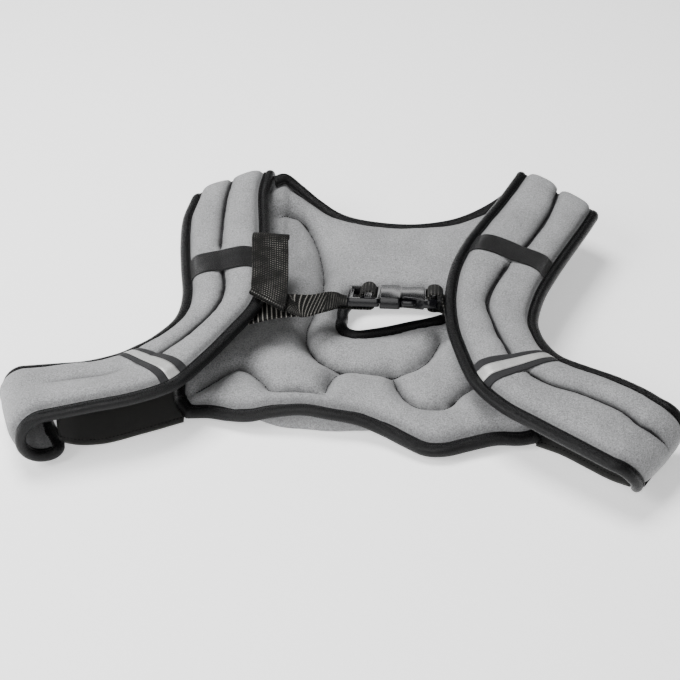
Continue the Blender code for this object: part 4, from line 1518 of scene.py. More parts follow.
@dataclass
class ChestWebbing:
    """The webbing that joins the buckle to both straps, with its loops and folded tail."""

    place: BucklePlace
    width: float = 31.0
    thickness: float = 1.7
    fold_radius: float = 1.3
    hem_radius: float = 1.9
    ribs_end: float = -31.0
    tail_height: float = 55.0
    lengths: dict[str, float] = field(default_factory=dict)

    def left_rows(self) -> Points:
        """Return the rows of the adjustable side, from its sewn end to the tail's hem.

        Returns:
            The rows.
        """
        rows = np.vstack([moved(WEB_FIXED), self.place.loop(LOCK_LOOP, self.width), moved(WEB_TAIL)])
        last = rows[-1]
        across = unit(last[3:5] - last[0:2])
        away = np.array([-across[1], across[0], 0.0])
        away *= -np.sign(away[1])
        turn = np.pi * np.arange(1, 5)[:, None] / 4
        step = away * self.fold_radius * np.sin(turn) + (0, 0, self.fold_radius) * (1 - np.cos(turn))
        rows = np.vstack([rows, last + np.hstack([step, step]), moved(TAIL_RISE)])
        turn = np.radians(45.0 * np.arange(1, 7))[:, None]
        step = np.hstack([0 * turn, self.hem_radius * np.sin(turn), -self.hem_radius * (1 - np.cos(turn))])
        return flowing_rows(np.vstack([rows, rows[-1] + np.hstack([step, step])]), 0.8)

    def ribbed(self, rows: Points) -> Points:
        """Return where the adjustable side's webbing is ribbed: from the strap to near the buckle.

        Args:
            rows: The webbing's rows.

        Returns:
            1 in each ribbed row, and 0 in the others.
        """
        middle = (rows[:, 0] + rows[:, 3]) / 2 - OFFSET[0]
        height = (rows[:, 2] + rows[:, 5]) / 2
        return np.clip((self.ribs_end - middle) / 5, 0, 1) * (height < self.tail_height)

    def right_rows(self) -> Points:
        """Return the rows of the loop on the socket's side."""
        loop = self.place.loop(SOCKET_LOOP, self.width)
        return flowing_rows(np.vstack([moved(SOCKET_LOW_END), loop, moved(SOCKET_TOP_END)]), 0.8)

    def build(self) -> dict[str, Piece]:
        """Make both sides.

        Returns:
            The strips by side.
        """
        rows = self.left_rows()
        strips = {"left": Ribbon("chest_strip", rows, self.thickness, 26, self.ribbed(rows))}
        rows = self.right_rows()
        strips["right"] = Ribbon("socket_strip", rows, self.thickness, 26)
        self.lengths = {side: strip.length for side, strip in strips.items()}
        return {side: strip.build() for side, strip in strips.items()}


@dataclass
class Wiring:
    """Adds and joins the nodes of a material or of a shared node group."""

    tree: bpy.types.NodeTree

    def add(self, kind: str, inputs: dict | None = None, **settings: object) -> bpy.types.Node:
        """Add a node.

        Args:
            kind: The shader node's kind, without its first part.
            inputs: Values or sockets for the node's inputs, by name or number.
            settings: The node's own settings.

        Returns:
            The node.
        """
        node = self.tree.nodes.new(f"ShaderNode{kind}")
        for name, value in settings.items():
            setattr(node, name, value)
        self.fill(node, inputs or {})
        return node

    def fill(self, node: bpy.types.Node, inputs: dict) -> None:
        """Set a node's inputs to values, or join them to sockets.

        Args:
            node: The node.
            inputs: Values or sockets, by the inputs' names or numbers.
        """
        for name, value in inputs.items():
            if isinstance(value, Socket):
                self.tree.links.new(value, node.inputs[name])
            else:
                node.inputs[name].default_value = value

    def math(self, operation: str, *values: object) -> Socket:
        """Return the result of a sum on numbers."""
        return self.add("Math", dict(enumerate(values)), operation=operation).outputs[0]

    def noise(self, place: Socket, size: float, detail: float = 2.0, roughness: float = 0.5) -> Socket:
        """Return a noise from 0 to 1 whose spots are about a size in millimetres."""
        inputs = {"Vector": place, "Scale": 1 / (size * MM), "Detail": detail, "Roughness": roughness}
        return self.add("TexNoise", inputs).outputs["Fac"]

    def span(self, value: object, low: float, high: float, start: float = 0.0, end: float = 1.0) -> Socket:
        """Return a value turned from one range into another, and kept inside it."""
        inputs = {"Value": value, "From Min": low, "From Max": high, "To Min": start, "To Max": end}
        return self.add("MapRange", inputs, clamp=True).outputs[0]

    def mix(self, share: object, first: object, second: object) -> Socket:
        """Return a mix of two colours.

        Args:
            share: How much of the second.
            first: A colour.
            second: A colour.

        Returns:
            The mix.
        """
        colours = [(*value, 1.0) if isinstance(value, tuple) else value for value in (first, second)]
        node = self.add("Mix", {0: share, 6: colours[0], 7: colours[1]}, data_type="RGBA")
        return node.outputs[2]

    def group(self, shared: "SharedNodes", **inputs: object) -> bpy.types.Node:
        """Add a shared node group.

        Args:
            shared: The group.
            inputs: Its inputs by name.

        Returns:
            The group's node.
        """
        node = self.add("Group", node_tree=shared.make())
        self.fill(node, inputs)
        return node

    def bump(self, height: object, distance: float, strength: float = 1.0,
             normal: Socket | None = None) -> Socket:
        """Return a normal bent by a height, with the distance in millimetres.

        Args:
            height: The height.
            distance: What a height of 1 stands for.
            strength: Its share.
            normal: A normal bent before.

        Returns:
            The normal.
        """
        inputs = {"Height": height, "Distance": distance * MM, "Strength": strength}
        if normal is not None:
            inputs["Normal"] = normal
        return self.add("Bump", inputs).outputs[0]


@dataclass(frozen=True)
class SharedNodes:
    """A node group that several finishes share."""

    name: str
    takes: tuple[tuple[str, str], ...]
    gives: tuple[str, ...]
    fill: Callable[[Wiring, Outputs], tuple[Socket, ...]]

    def make(self) -> bpy.types.NodeTree:
        """Return the group, made on its first use.

        Returns:
            The group.
        """
        made = bpy.data.node_groups.get(self.name)
        if made is not None:
            return made
        tree = bpy.data.node_groups.new(self.name, "ShaderNodeTree")
        for name, kind in self.takes:
            tree.interface.new_socket(name=name, in_out="INPUT", socket_type=f"NodeSocket{kind}")
        for name in self.gives:
            tree.interface.new_socket(name=name, in_out="OUTPUT", socket_type="NodeSocketFloat")
        entry = tree.nodes.new("NodeGroupInput")
        leave = tree.nodes.new("NodeGroupOutput")
        for name, value in zip(self.gives, self.fill(Wiring(tree), entry.outputs)):
            tree.links.new(value, leave.inputs[name])
        return tree


def fill_speckle(wiring: Wiring, given: Outputs) -> tuple[Socket, ...]:
    """Wire fine speckles, small clumps of them and wide soft blotches.

    Args:
        wiring: Where the nodes go.
        given: The group's inputs.

    Returns:
        The speckles and the blotches.
    """
    place = given["Place"]
    fine = wiring.noise(place, 1.0, 1.0)
    clump = wiring.noise(place, 1.7, 1.0)
    blotch = wiring.noise(place, 42.0, 2.0, 0.5)
    mixed = wiring.math("ADD", wiring.math("MULTIPLY", fine, 0.75), wiring.math("MULTIPLY", clump, 0.25))
    return wiring.span(mixed, 0.33, 0.67), wiring.span(blotch, 0.3, 0.7)


def fill_weave(wiring: Wiring, given: Outputs) -> tuple[Socket, ...]:
    """Wire an over-and-under weave: the height of its threads and each thread's own tone.

    Args:
        wiring: Where the nodes go.
        given: The group's inputs.

    Returns:
        The height and the tone.
    """
    parts = wiring.add("SeparateXYZ", {0: given["Pattern"]}).outputs
    waves = []
    for part, pitch in ((parts[0], given["Across"]), (parts[1], given["Along"])):
        turned = wiring.math("DIVIDE", wiring.math("MULTIPLY", part, math.pi), pitch)
        waves.append(wiring.math("SINE", turned))
    over = wiring.math("MULTIPLY", *waves)
    height = wiring.span(over, -1.0, 1.0)
    scaled = wiring.add("VectorMath", {0: given["Pattern"], 1: (40.0, 9.0, 1.0)}, operation="MULTIPLY")
    tone = wiring.add("TexNoise", {"Vector": scaled.outputs[0], "Scale": 1.0, "Detail": 1.0}).outputs["Fac"]
    return height, wiring.span(tone, 0.3, 0.7)


def fill_wear(wiring: Wiring, given: Outputs) -> tuple[Socket, ...]:
    """Wire rubbed edges, broken up by noise, and fine scratches.

    Args:
        wiring: Where the nodes go.
        given: The group's inputs.

    Returns:
        The edges and the scratches.
    """
    place = given["Place"]
    sharp = wiring.add("NewGeometry").outputs["Pointiness"]
    rubbed = wiring.span(wiring.noise(place, 1.6), 0.45, 0.65)
    edge = wiring.math("MULTIPLY", wiring.span(sharp, 0.56, 0.68), rubbed)
    stretched = wiring.add("VectorMath", {0: place, 1: (1.0, 9.0, 2.0)}, operation="MULTIPLY").outputs[0]
    scratch = wiring.span(wiring.noise(stretched, 6.0, 6.0, 0.7), 0.6, 0.64)
    return edge, scratch


PLACE = (("Place", "Vector"),)
PATTERN = (("Pattern", "Vector"), ("Across", "Float"), ("Along", "Float"))
SPECKLE = SharedNodes("speckle", PLACE, ("Fine", "Blotch"), fill_speckle)
WEAVE = SharedNodes("weave", PATTERN, ("Height", "Tone"), fill_weave)
WEAR = SharedNodes("wear", PLACE, ("Edge", "Scratch"), fill_wear)


@dataclass(frozen=True)
class Finish:
    """A finish: its name, two tones of its colour, and how it takes the light."""

    name: str
    dark: Colour
    light: Colour
    roughness: float = 0.8
    sheen: float = 0.2
    sheen_roughness: float = 0.5
    specular: float = 0.4

    def make(self) -> bpy.types.Material:
        """Make the material.

        Returns:
            The material.
        """
        material = bpy.data.materials.new(self.name)
        material.use_nodes = True
        tree = material.node_tree
        shader = tree.nodes["Principled BSDF"]
        shader.inputs["Roughness"].default_value = self.roughness
        shader.inputs["Sheen Weight"].default_value = self.sheen
        shader.inputs["Sheen Roughness"].default_value = self.sheen_roughness
        shader.inputs["Specular IOR Level"].default_value = self.specular
        wiring = Wiring(tree)
        places = wiring.add("TexCoord").outputs
        colour, roughness, normal = self.wire(wiring, places["Object"], places["UV"])
        tree.links.new(colour, shader.inputs["Base Color"])
        tree.links.new(normal, shader.inputs["Normal"])
        if roughness is not None:
            tree.links.new(roughness, shader.inputs["Roughness"])
        self.tune(shader)
        return material

    def wire(self, wiring: Wiring, place: Socket, pattern: Socket) -> Wired:
        """Wire the colour, roughness and normal.

        Args:
            wiring: Where the nodes go.
            place: The place on the object.
            pattern: The place on the flat cloth, in centimetres; not used here.

        Returns:
            The colour, the roughness or None where it is even, and the normal.
        """
        tone = wiring.noise(place, 8.0, 3.0)
        return wiring.mix(tone, self.dark, self.light), None, wiring.bump(tone, 0.2)

    def tune(self, shader: bpy.types.Node) -> None:
        """Set what else the finish needs on the shader."""


@dataclass(frozen=True)
class Neoprene(Finish):
    """Knit-faced foam rubber: fine speckles, soft sheen, dark thread in its sewn lines and painted shade.
    """

    thread: Colour = (0.006, 0.006, 0.007)

    def wire(self, wiring: Wiring, place: Socket, pattern: Socket) -> Wired:
        """Wire the speckled knit, its sewn lines, painted shade beside them and the edges, and its small
        unevenness.

        Args:
            wiring: Where the nodes go.
            place: The place on the object.
            pattern: The place on the flat cloth; not used here.

        Returns:
            The colour, roughness and normal.
        """
        speckle = wiring.group(SPECKLE, Place=place).outputs
        tone = wiring.math("ADD", wiring.math("MULTIPLY", speckle["Fine"], 0.8),
                           wiring.math("MULTIPLY", speckle["Blotch"], 0.2))
        seam = wiring.add("Attribute", attribute_name="seam").outputs["Fac"]
        knit = wiring.mix(tone, self.dark, self.light)
        # Painted shade: near the bound edges and the sewn lines the knit is mixed toward a darker copy of
        # its own colour.
        shade = wiring.add("Attribute", attribute_name="shade").outputs["Fac"]
        painted_shade_colour, deep = (tuple(share * part for part in self.dark) for share in (0.35, 0.22))
        knit = wiring.mix(wiring.span(shade, 0.0, 1.0, 0.0, 0.6), knit, painted_shade_colour)
        # Painted shade: a wider dark band on each side of a sewn line, where its groove's shadow falls; the
        # thread's own near-black colour goes on last.
        painted_seam_shade = wiring.mix(wiring.span(seam, 0.02, 0.6, 0.0, 0.75), knit, deep)
        colour = wiring.mix(wiring.span(seam, 0.38, 0.72), painted_seam_shade, self.thread)
        roughness = wiring.span(speckle["Fine"], 0.0, 1.0, self.roughness - 0.08, self.roughness + 0.06)
        uneven = wiring.bump(wiring.noise(place, 7.0, 2.0), 0.7, 0.5)
        return colour, roughness, wiring.bump(speckle["Fine"], 0.22, 0.8, uneven)


@dataclass(frozen=True)
class Woven(Finish):
    """Plain-woven tape or band, with its pitch across and along in centimetres."""

    across: float = 0.05
    along: float = 0.07
    depth: float = 0.25

    def wire(self, wiring: Wiring, place: Socket, pattern: Socket) -> Wired:
        """Wire the threads, their uneven tone and a little lint.

        Args:
            wiring: Where the nodes go.
            place: The place on the object.
            pattern: The place on the flat cloth.

        Returns:
            The colour, roughness and normal.
        """
        weave = wiring.group(WEAVE, Pattern=pattern, Across=self.across, Along=self.along).outputs
        tone = wiring.math("MULTIPLY", weave["Height"], wiring.span(weave["Tone"], 0.0, 1.0, 0.55, 1.0))
        colour = wiring.mix(tone, self.dark, self.light)
        lint = wiring.span(wiring.noise(place, 1.3, 3.0, 0.7), 0.62, 0.74, 0.0, 0.35)
        colour = wiring.mix(lint, colour, tuple(2.2 * part for part in self.light))
        roughness = wiring.span(weave["Tone"], 0.0, 1.0, self.roughness + 0.06, self.roughness - 0.08)
        uneven = wiring.bump(wiring.noise(place, 9.0, 2.0), 0.6, 0.6)
        return colour, roughness, wiring.bump(weave["Height"], self.depth, 1.0, uneven)


@dataclass(frozen=True)
class Webbing(Finish):
    """Coarse nylon webbing with painted highlights: spots on its weave, and streaks on its ribs."""

    across: float = 0.13
    along: float = 0.17
    depth: float = 0.5
    # Painted highlight colours: for spots on the weave, and for the crests of the ribs.
    glint: Colour = (0.2, 0.195, 0.18)
    rib_highlight: Colour = (0.27, 0.26, 0.24)
    dot_across: float = 0.2
    dot_along: float = 0.27

    def wire(self, wiring: Wiring, place: Socket, pattern: Socket) -> Wired:
        """Wire the weave, painted highlight spots on its weave and painted highlight streaks on the ribs.

        Args:
            wiring: Where the nodes go.
            place: The place on the object.
            pattern: The place on the flat cloth.

        Returns:
            The colour, roughness and normal.
        """
        weave = wiring.group(WEAVE, Pattern=pattern, Across=self.across, Along=self.along).outputs
        colour = wiring.mix(weave["Height"], self.dark, self.light)
        # Painted highlight: rows of light spots where the weave's threads would catch the light.
        parts = wiring.add("SeparateXYZ", {0: pattern}).outputs
        waves = []
        for part, pitch in ((parts[0], self.dot_across), (parts[1], self.dot_along)):
            turned = wiring.math("MULTIPLY", part, math.pi / pitch)
            waves.append(wiring.math("ABSOLUTE", wiring.math("SINE", turned)))
        narrow = wiring.math("POWER", waves[1], 2.0)
        glint_dots = wiring.span(wiring.math("MULTIPLY", waves[0], narrow), 0.6, 0.95)
        # This noise is not wear: it only makes the painted highlight spots brighter in some patches and
        # fainter in others.
        rubbed = wiring.span(wiring.noise(place, 14.0, 3.0, 0.6), 0.42, 0.62, 0.08, 1.0)
        painted_glint_spots = wiring.math("MULTIPLY", glint_dots, rubbed)
        ridge = wiring.add("Attribute", attribute_name="ridge").outputs["Fac"]
        ribbed = wiring.add("Attribute", attribute_name="ribbed").outputs["Fac"]
        # The painted highlight spots are left off where the webbing is ribbed.
        plain = wiring.math("MULTIPLY", painted_glint_spots, wiring.math("SUBTRACT", 1.0, ribbed))
        colour = wiring.mix(plain, colour, self.glint)
        # Painted highlight on the crests of the ribs, broken up thread by thread.
        strand = wiring.span(waves[0], 0.2, 0.8, 0.3, 1.0)
        rib_highlight_strands = wiring.math("MULTIPLY", wiring.span(ridge, 0.5, 0.9), strand)
        colour = wiring.mix(rib_highlight_strands, colour, self.rib_highlight)
        roughness = wiring.span(weave["Height"], 0.0, 1.0, self.roughness + 0.15, self.roughness - 0.1)
        return colour, roughness, wiring.bump(weave["Height"], self.depth)


@dataclass(frozen=True)
class Reflective(Finish):
    """Silver strip with a fine net of cells pressed into it."""

    cell: float = 0.09
    metallic: float = 0.35

    def wire(self, wiring: Wiring, place: Socket, pattern: Socket) -> Wired:
        """Wire the cells and scuffs.

        Args:
            wiring: Where the nodes go.
            place: The place on the object.
            pattern: The place on the flat cloth.

        Returns:
            The colour, roughness and normal.
        """
        cells = wiring.add("TexVoronoi", {"Vector": pattern, "Scale": 1 / self.cell, "Randomness": 0.15},
                           feature="DISTANCE_TO_EDGE").outputs["Distance"]
        wall = wiring.span(cells, 0.02, 0.12)
        scuff = wiring.span(wiring.noise(place, 5.0, 4.0, 0.65), 0.45, 0.7)
        tone = wiring.math("MULTIPLY", wall, wiring.span(scuff, 0, 1, 1.0, 0.8))
        colour = wiring.mix(tone, self.dark, self.light)
        roughness = wiring.span(scuff, 0.0, 1.0, self.roughness, self.roughness + 0.2)
        uneven = wiring.bump(wiring.noise(place, 6.0, 2.0), 0.5, 0.5)
        return colour, roughness, wiring.bump(wall, 0.1, 0.6, uneven)

    def tune(self, shader: bpy.types.Node) -> None:
        """Make it partly metallic."""
        shader.inputs["Metallic"].default_value = self.metallic


@dataclass(frozen=True)
class Plastic(Finish):
    """Moulded glossy plastic with rubbed edges and fine scratches."""

    coat: float = 0.05
    coat_roughness: float = 0.12

    def wire(self, wiring: Wiring, place: Socket, pattern: Socket) -> Wired:
        """Wire the wear and the mould's faint grain.

        Args:
            wiring: Where the nodes go.
            place: The place on the object.
            pattern: The place on the flat cloth; not used here.

        Returns:
            The colour, roughness and normal.
        """
        wear = wiring.group(WEAR, Place=place).outputs
        colour = wiring.mix(wiring.math("MULTIPLY", wear["Edge"], 0.5), self.dark, self.light)
        colour = wiring.mix(wiring.math("MULTIPLY", wear["Scratch"], 0.25), colour, self.light)
        grain = wiring.noise(place, 0.4, 2.0)
        moulded = wiring.span(grain, 0.3, 0.7, self.roughness - 0.02, self.roughness + 0.03)
        roughness = wiring.math("ADD", moulded, wiring.math("MULTIPLY", wear["Scratch"], 0.15))
        return colour, roughness, wiring.bump(wear["Edge"], 0.03, 0.3)

    def tune(self, shader: bpy.types.Node) -> None:
        """Add the mould's gloss."""
        shader.inputs["Coat Weight"].default_value = self.coat
        shader.inputs["Coat Roughness"].default_value = self.coat_roughness


def plate(name: str, outline: Sequence[Row], low: float, high: float) -> Piece:
    """Make an upright plate from an outline seen from above, in millimetres.

    Args:
        name: The plate's name.
        outline: The corners in order.
        low: The height of its underside.
        high: The height of its top.

    Returns:
        The plate.
    """
    bpy.ops.object.select_all(action="DESELECT")
    bpy.ops.mesh.primitive_circle_add(vertices=len(outline), radius=MM, fill_type="NGON")
    piece = bpy.context.active_object
    piece.name = piece.data.name = name
    spots = read_points(piece.data)
    turn = np.arctan2(spots[:, 1], spots[:, 0]) / (2 * math.pi)
    order = np.rint(turn * len(outline) - 0.25 * len(outline)).astype(int) % len(outline)
    corners = np.array(outline, float)
    area = np.cross(corners, np.roll(corners, -1, axis=0)).sum()
    corners = corners if area > 0 else corners[::-1]
    write_points(piece.data, np.column_stack([corners[order], np.full(len(outline), low)]))
    bpy.ops.object.mode_set(mode="EDIT")
    bpy.ops.mesh.select_all(action="SELECT")
    bpy.ops.mesh.extrude_region_move(TRANSFORM_OT_translate={"value": (0, 0, (high - low) * MM)})
    bpy.ops.mesh.select_all(action="SELECT")
    bpy.ops.mesh.normals_make_consistent(inside=False)
    bpy.ops.object.mode_set(mode="OBJECT")
    return piece


def rounded(outline: Sequence[Row], radius: float, steps: int = 4) -> list[Row]:
    """Return an outline with its corners rounded.

    Args:
        outline: The corners.
        radius: How far from a corner its curve starts.
        steps: The curve's straight pieces.

    Returns:
        The outline.
    """
    corners = np.array(outline, float)
    result = []
    for before, corner, after in zip(np.roll(corners, 1, axis=0), corners, np.roll(corners, -1, axis=0)):
        start = corner + unit(before - corner) * min(radius, np.linalg.norm(before - corner) / 2.2)
        end = corner + unit(after - corner) * min(radius, np.linalg.norm(after - corner) / 2.2)
        for t in np.linspace(0, 1, steps + 1):
            result.append(tuple(start * (1 - t) ** 2 + corner * 2 * t * (1 - t) + end * t**2))
    return result


def box_outline(x0: float, x1: float, y0: float, y1: float) -> list[Row]:
    """Return the corners of a rectangle."""
    return [(x0, y0), (x1, y0), (x1, y1), (x0, y1)]


def combine(piece: Piece, tool: Piece, operation: str) -> None:
    """Join a tool to a piece, or cut it from the piece, and remove the tool."""
    apply(piece, "BOOLEAN", operation=operation, solver="EXACT", object=tool)
    bpy.data.objects.remove(tool, do_unlink=True)


@dataclass
class Buckle:
    """Side-release buckle: a ladder lock with two sprung arms, and the socket that holds them."""

    place: BucklePlace
    lock_length: float = 27.0
    rail: float = 5.0
    slots: tuple[Row, ...] = ((4.5, 12.8), (20.5, 25.0))
    recesses: tuple[Row, ...] = ((4.2, 11.3, 1.1), (20.2, 25.2, 1.0))
    grips: int = 5
    grip_start: float = 12.4
    grip_pitch: float = 1.7
    grip_width: float = 0.7
    grip_depth: float = 1.45
    gap: float = 0.35
    socket_length: float = 48.5
    socket_thick: float = 10.0
    arm_thick: float = 4.0
    window: Row = (44.0, 66.5, 5.6)
    tail_start: float = 66.0
    tail_inset: float = 2.4
    tail_step: float = 1.5
    bar_slot: Row = (66.2, 70.1)
    arm_room: Row = (60.4, 3.0, 10.5)
    arm: tuple[Row, ...] = (
        (26.0, 6.0), (44.0, 6.0), (45.0, 2.2), (46.0, 0.9), (53.6, 0.5), (56.6, 1.2), (59.4, 4.0),
        (60.0, 10.0), (26.0, 10.0),
    )

    def mirrored(self, outline: Sequence[Row]) -> list[Row]:
        """Return an outline turned over to the buckle's far side."""
        return [(x, self.place.width - y) for x, y in reversed(outline)]

    def plug(self) -> Piece:
        """Make the ladder lock with its arms.

        Returns:
            The piece.
        """
        width, half = self.place.width, self.place.lock_thick / 2
        frame_outline = rounded(box_outline(0.0, self.lock_length, 0.0, width), 2.4)
        piece = plate("buckle_lock", frame_outline, -half, half)
        for low, high in self.slots:
            hole = rounded(box_outline(low, high, self.rail, width - self.rail), 1.0)
            combine(piece, plate("slot", hole, -half - 1, half + 1), "DIFFERENCE")
        for low, high, deep in self.recesses:
            hollow = rounded(box_outline(low - 1.6, high, self.rail - 1.4, width - self.rail + 1.4), 1.2)
            combine(piece, plate("recess", hollow, half - deep, half + 1), "DIFFERENCE")
        for step in range(self.grips):
            start = self.grip_start + self.grip_pitch * step
            end = start + self.grip_width
            groove = box_outline(start, end, self.rail + 1.5, width - self.rail - 1.5)
            combine(piece, plate("grip", groove, half - self.grip_depth, half + 1), "DIFFERENCE")
        for turn_over in (list, self.mirrored):
            arm = plate("arm", rounded(turn_over(self.arm), 1.4), -self.arm_thick / 2, self.arm_thick / 2)
            combine(piece, arm, "UNION")
        return self._finish(piece, 0.55)

    def socket(self) -> Piece:
        """Make the socket with its collar, side windows and slotted tail.

        Returns:
            The piece.
        """
        width, half = self.place.width, self.socket_thick / 2
        start = self.lock_length + self.gap
        end = start + self.socket_length
        near, far, deep = self.window
        half_body = [
            (start, 0.0), (near - 0.6, 0.0), (near + 0.5, 1.2), (near + 1.2, deep - 0.6),
            (near + 2.6, deep), (near + 5.0, deep - 0.4), (far, 0.9), (self.tail_start + 2.5, 0.4),
            (end, self.tail_inset),
        ]
        body = rounded(half_body + self.mirrored(half_body), 1.1)
        piece = plate("buckle_socket_body", body, -half, half)
        slot = rounded(box_outline(*self.bar_slot, self.rail, width - self.rail), 0.9)
        combine(piece, plate("slot", slot, -half - 1, half + 1), "DIFFERENCE")
        reach = self.arm_thick / 2 + self.gap
        for turn_over in (list, self.mirrored):
            room = turn_over(box_outline(start - 1.0, *self.arm_room))
            combine(piece, plate("arm_room", room, -reach, reach), "DIFFERENCE")
        for face in (1, -1):
            step = rounded(box_outline(self.tail_start - 1.4, end + 1, -1, width + 1), 0.8)
            low, high = sorted((face * (half - self.tail_step), face * (half + 1)))
            combine(piece, plate("tail_step", step, low, high), "DIFFERENCE")
        return self._finish(piece, 0.7)

    def _finish(self, piece: Piece, radius: float) -> Piece:
        """Round a half's edges and put it in its place.

        Args:
            piece: The half.
            radius: The edges' radius.

        Returns:
            The half.
        """
        apply(piece, "BEVEL", width=radius * MM, segments=3, limit_method="ANGLE",
              angle_limit=math.radians(32), use_clamp_overlap=True, harden_normals=False)
        write_points(piece.data, self.place.put(read_points(piece.data)))
        pick(piece)
        bpy.ops.object.shade_smooth_by_angle(angle=math.radians(35))
        return piece


@dataclass
class Vest:
    """The whole vest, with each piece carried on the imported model's body."""

    left: PaddedStrap
    right: PaddedStrap
    panel: BackPanel
    finishes: dict[str, bpy.types.Material]

    def dress(self, piece: Piece, slot: str, *nodes: str, finish: str | None = None) -> Piece:
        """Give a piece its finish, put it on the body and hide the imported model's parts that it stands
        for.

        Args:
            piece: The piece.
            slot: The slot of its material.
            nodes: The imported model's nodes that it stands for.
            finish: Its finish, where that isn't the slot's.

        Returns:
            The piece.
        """
        piece.data.materials.clear()
        piece.data.materials.append(self.finishes[finish or slot])
        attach(piece, "root")
        if nodes:
            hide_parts(*nodes)
        log.info("%s: %d faces", piece.name, len(piece.data.polygons))
        return piece

    @staticmethod
    def cut(piece: Piece, width: float, length: float, held: str, rests_on: Sequence[str],
            with_pieces: Sequence[Piece] = ()) -> None:
        """State the size, in millimetres, that a flat strip was cut to.

        Args:
            piece: The strip.
            width: Its width.
            length: Its length.
            held: How it is held; not used.
            rests_on: What it lies on; not used.
            with_pieces: What goes with it; not used.
        """
        log.info("%s: cut %.0f mm wide and %.0f mm long", piece.name, width, length)

    def build(self) -> None:
        """Build every piece."""
        tape_thread = Thread("tape_stitches")
        line_thread = Thread("line_stitches", pitch=2.6, radius=0.5)
        for strap in (self.left, self.right):
            self._strap(strap, tape_thread, line_thread)
        panel = self.dress(self.panel.build(), "neoprene", "back_panel")
        surface = Surface(panel)
        for line in self.panel.seams():
            line_thread.lines += surface.runs(line, 0.2)
        self.dress(line_thread.build(), "neoprene", finish="thread")
        nodes = {"left": "left_armhole_tape", "right": "right_armhole_tape"}
        for name, made in panel_bindings(self.panel, tape_thread).items():
            self.dress(made, "tape", nodes.get(name, f"{name}_tape"))
        for name, table in (("left", BELT_LEFT), ("right", BELT_RIGHT)):
            belt = Ribbon(f"{name}_belt_strip", belt_rows(table), BELT_THICKNESS, 24)
            strip = self.dress(belt.build(), "belt", f"{name}_belt")
            self.cut(strip, belt.width, belt.length, "laid", [panel.name, f"{name}_strap_padding"])
            tape_thread.lines += hem_line(belt.rows, *BELT_HEM)
        self.dress(tape_thread.build(), "tape")
        self._fasten()

    def _fasten(self) -> None:
        """Build the buckle and its webbing."""
        place = BucklePlace()
        buckle = Buckle(place)
        lock = self.dress(buckle.plug(), "buckle", "buckle_plug")
        socket = self.dress(buckle.socket(), "buckle", "buckle_socket")
        web = ChestWebbing(place)
        strips = web.build()
        for side, node, half in (("left", "chest_webbing", lock), ("right", "socket_webbing", socket)):
            strip = self.dress(strips[side], "webbing", node)
            self.cut(strip, web.width, web.lengths[side], "folded", [half.name, f"{side}_strap_padding"])

    def _strap(self, strap: PaddedStrap, thread: Thread, line_thread: Thread) -> None:
        """Build a strap with its tapes and bands.

        Args:
            strap: The strap.
            thread: The tapes' thread.
            line_thread: The sewn lines' thread.
        """
        body = self.dress(strap.build(), "neoprene", strap.name)
        tapes = (f"{strap.name}_{name}_tape" for name in ("inner", "outer", "end"))
        self.dress(strap_binding(strap, thread), "tape", *tapes)
        surface = Surface(body)
        for line in strap.seams():
            line_thread.lines += surface.runs(line)
        bands = (
            Band(f"{strap.name}_label_band", strap.label_at, strap.label_width, 0.35, 0.7),
            Band(f"{strap.name}_dark_band", strap.reflector_at, DARK_BAND, 0.35, 0.7),
            Band(f"{strap.name}_silver_band", strap.reflector_at, SILVER_BAND, 1.15, 0.5),
        )
        slots, nodes = ("label", "band", "reflective"), ("label", "reflector_base", "reflector")
        label, dark, silver = (self.dress(band.build(strap, surface), slot, f"{strap.name}_{node}")
                               for band, slot, node in zip(bands, slots, nodes))
        self.cut(label, bands[0].width, bands[0].length, "stretched", [body.name])
        self.cut(dark, bands[1].width, bands[1].length, "stretched", [body.name], [silver])


@dataclass(frozen=True)
class Light:
    """A square soft light that faces the vest, with its place and size in metres and power in watts."""

    name: str
    place: Row
    size: float
    power: float

    def add(self) -> None:
        """Add the light."""
        bpy.ops.object.light_add(type="AREA", location=self.place)
        light = bpy.context.active_object
        light.name = self.name
        light.data.size = self.size
        light.data.energy = self.power
        light.rotation_euler = (-light.location).to_track_quat("-Z", "Y").to_euler()


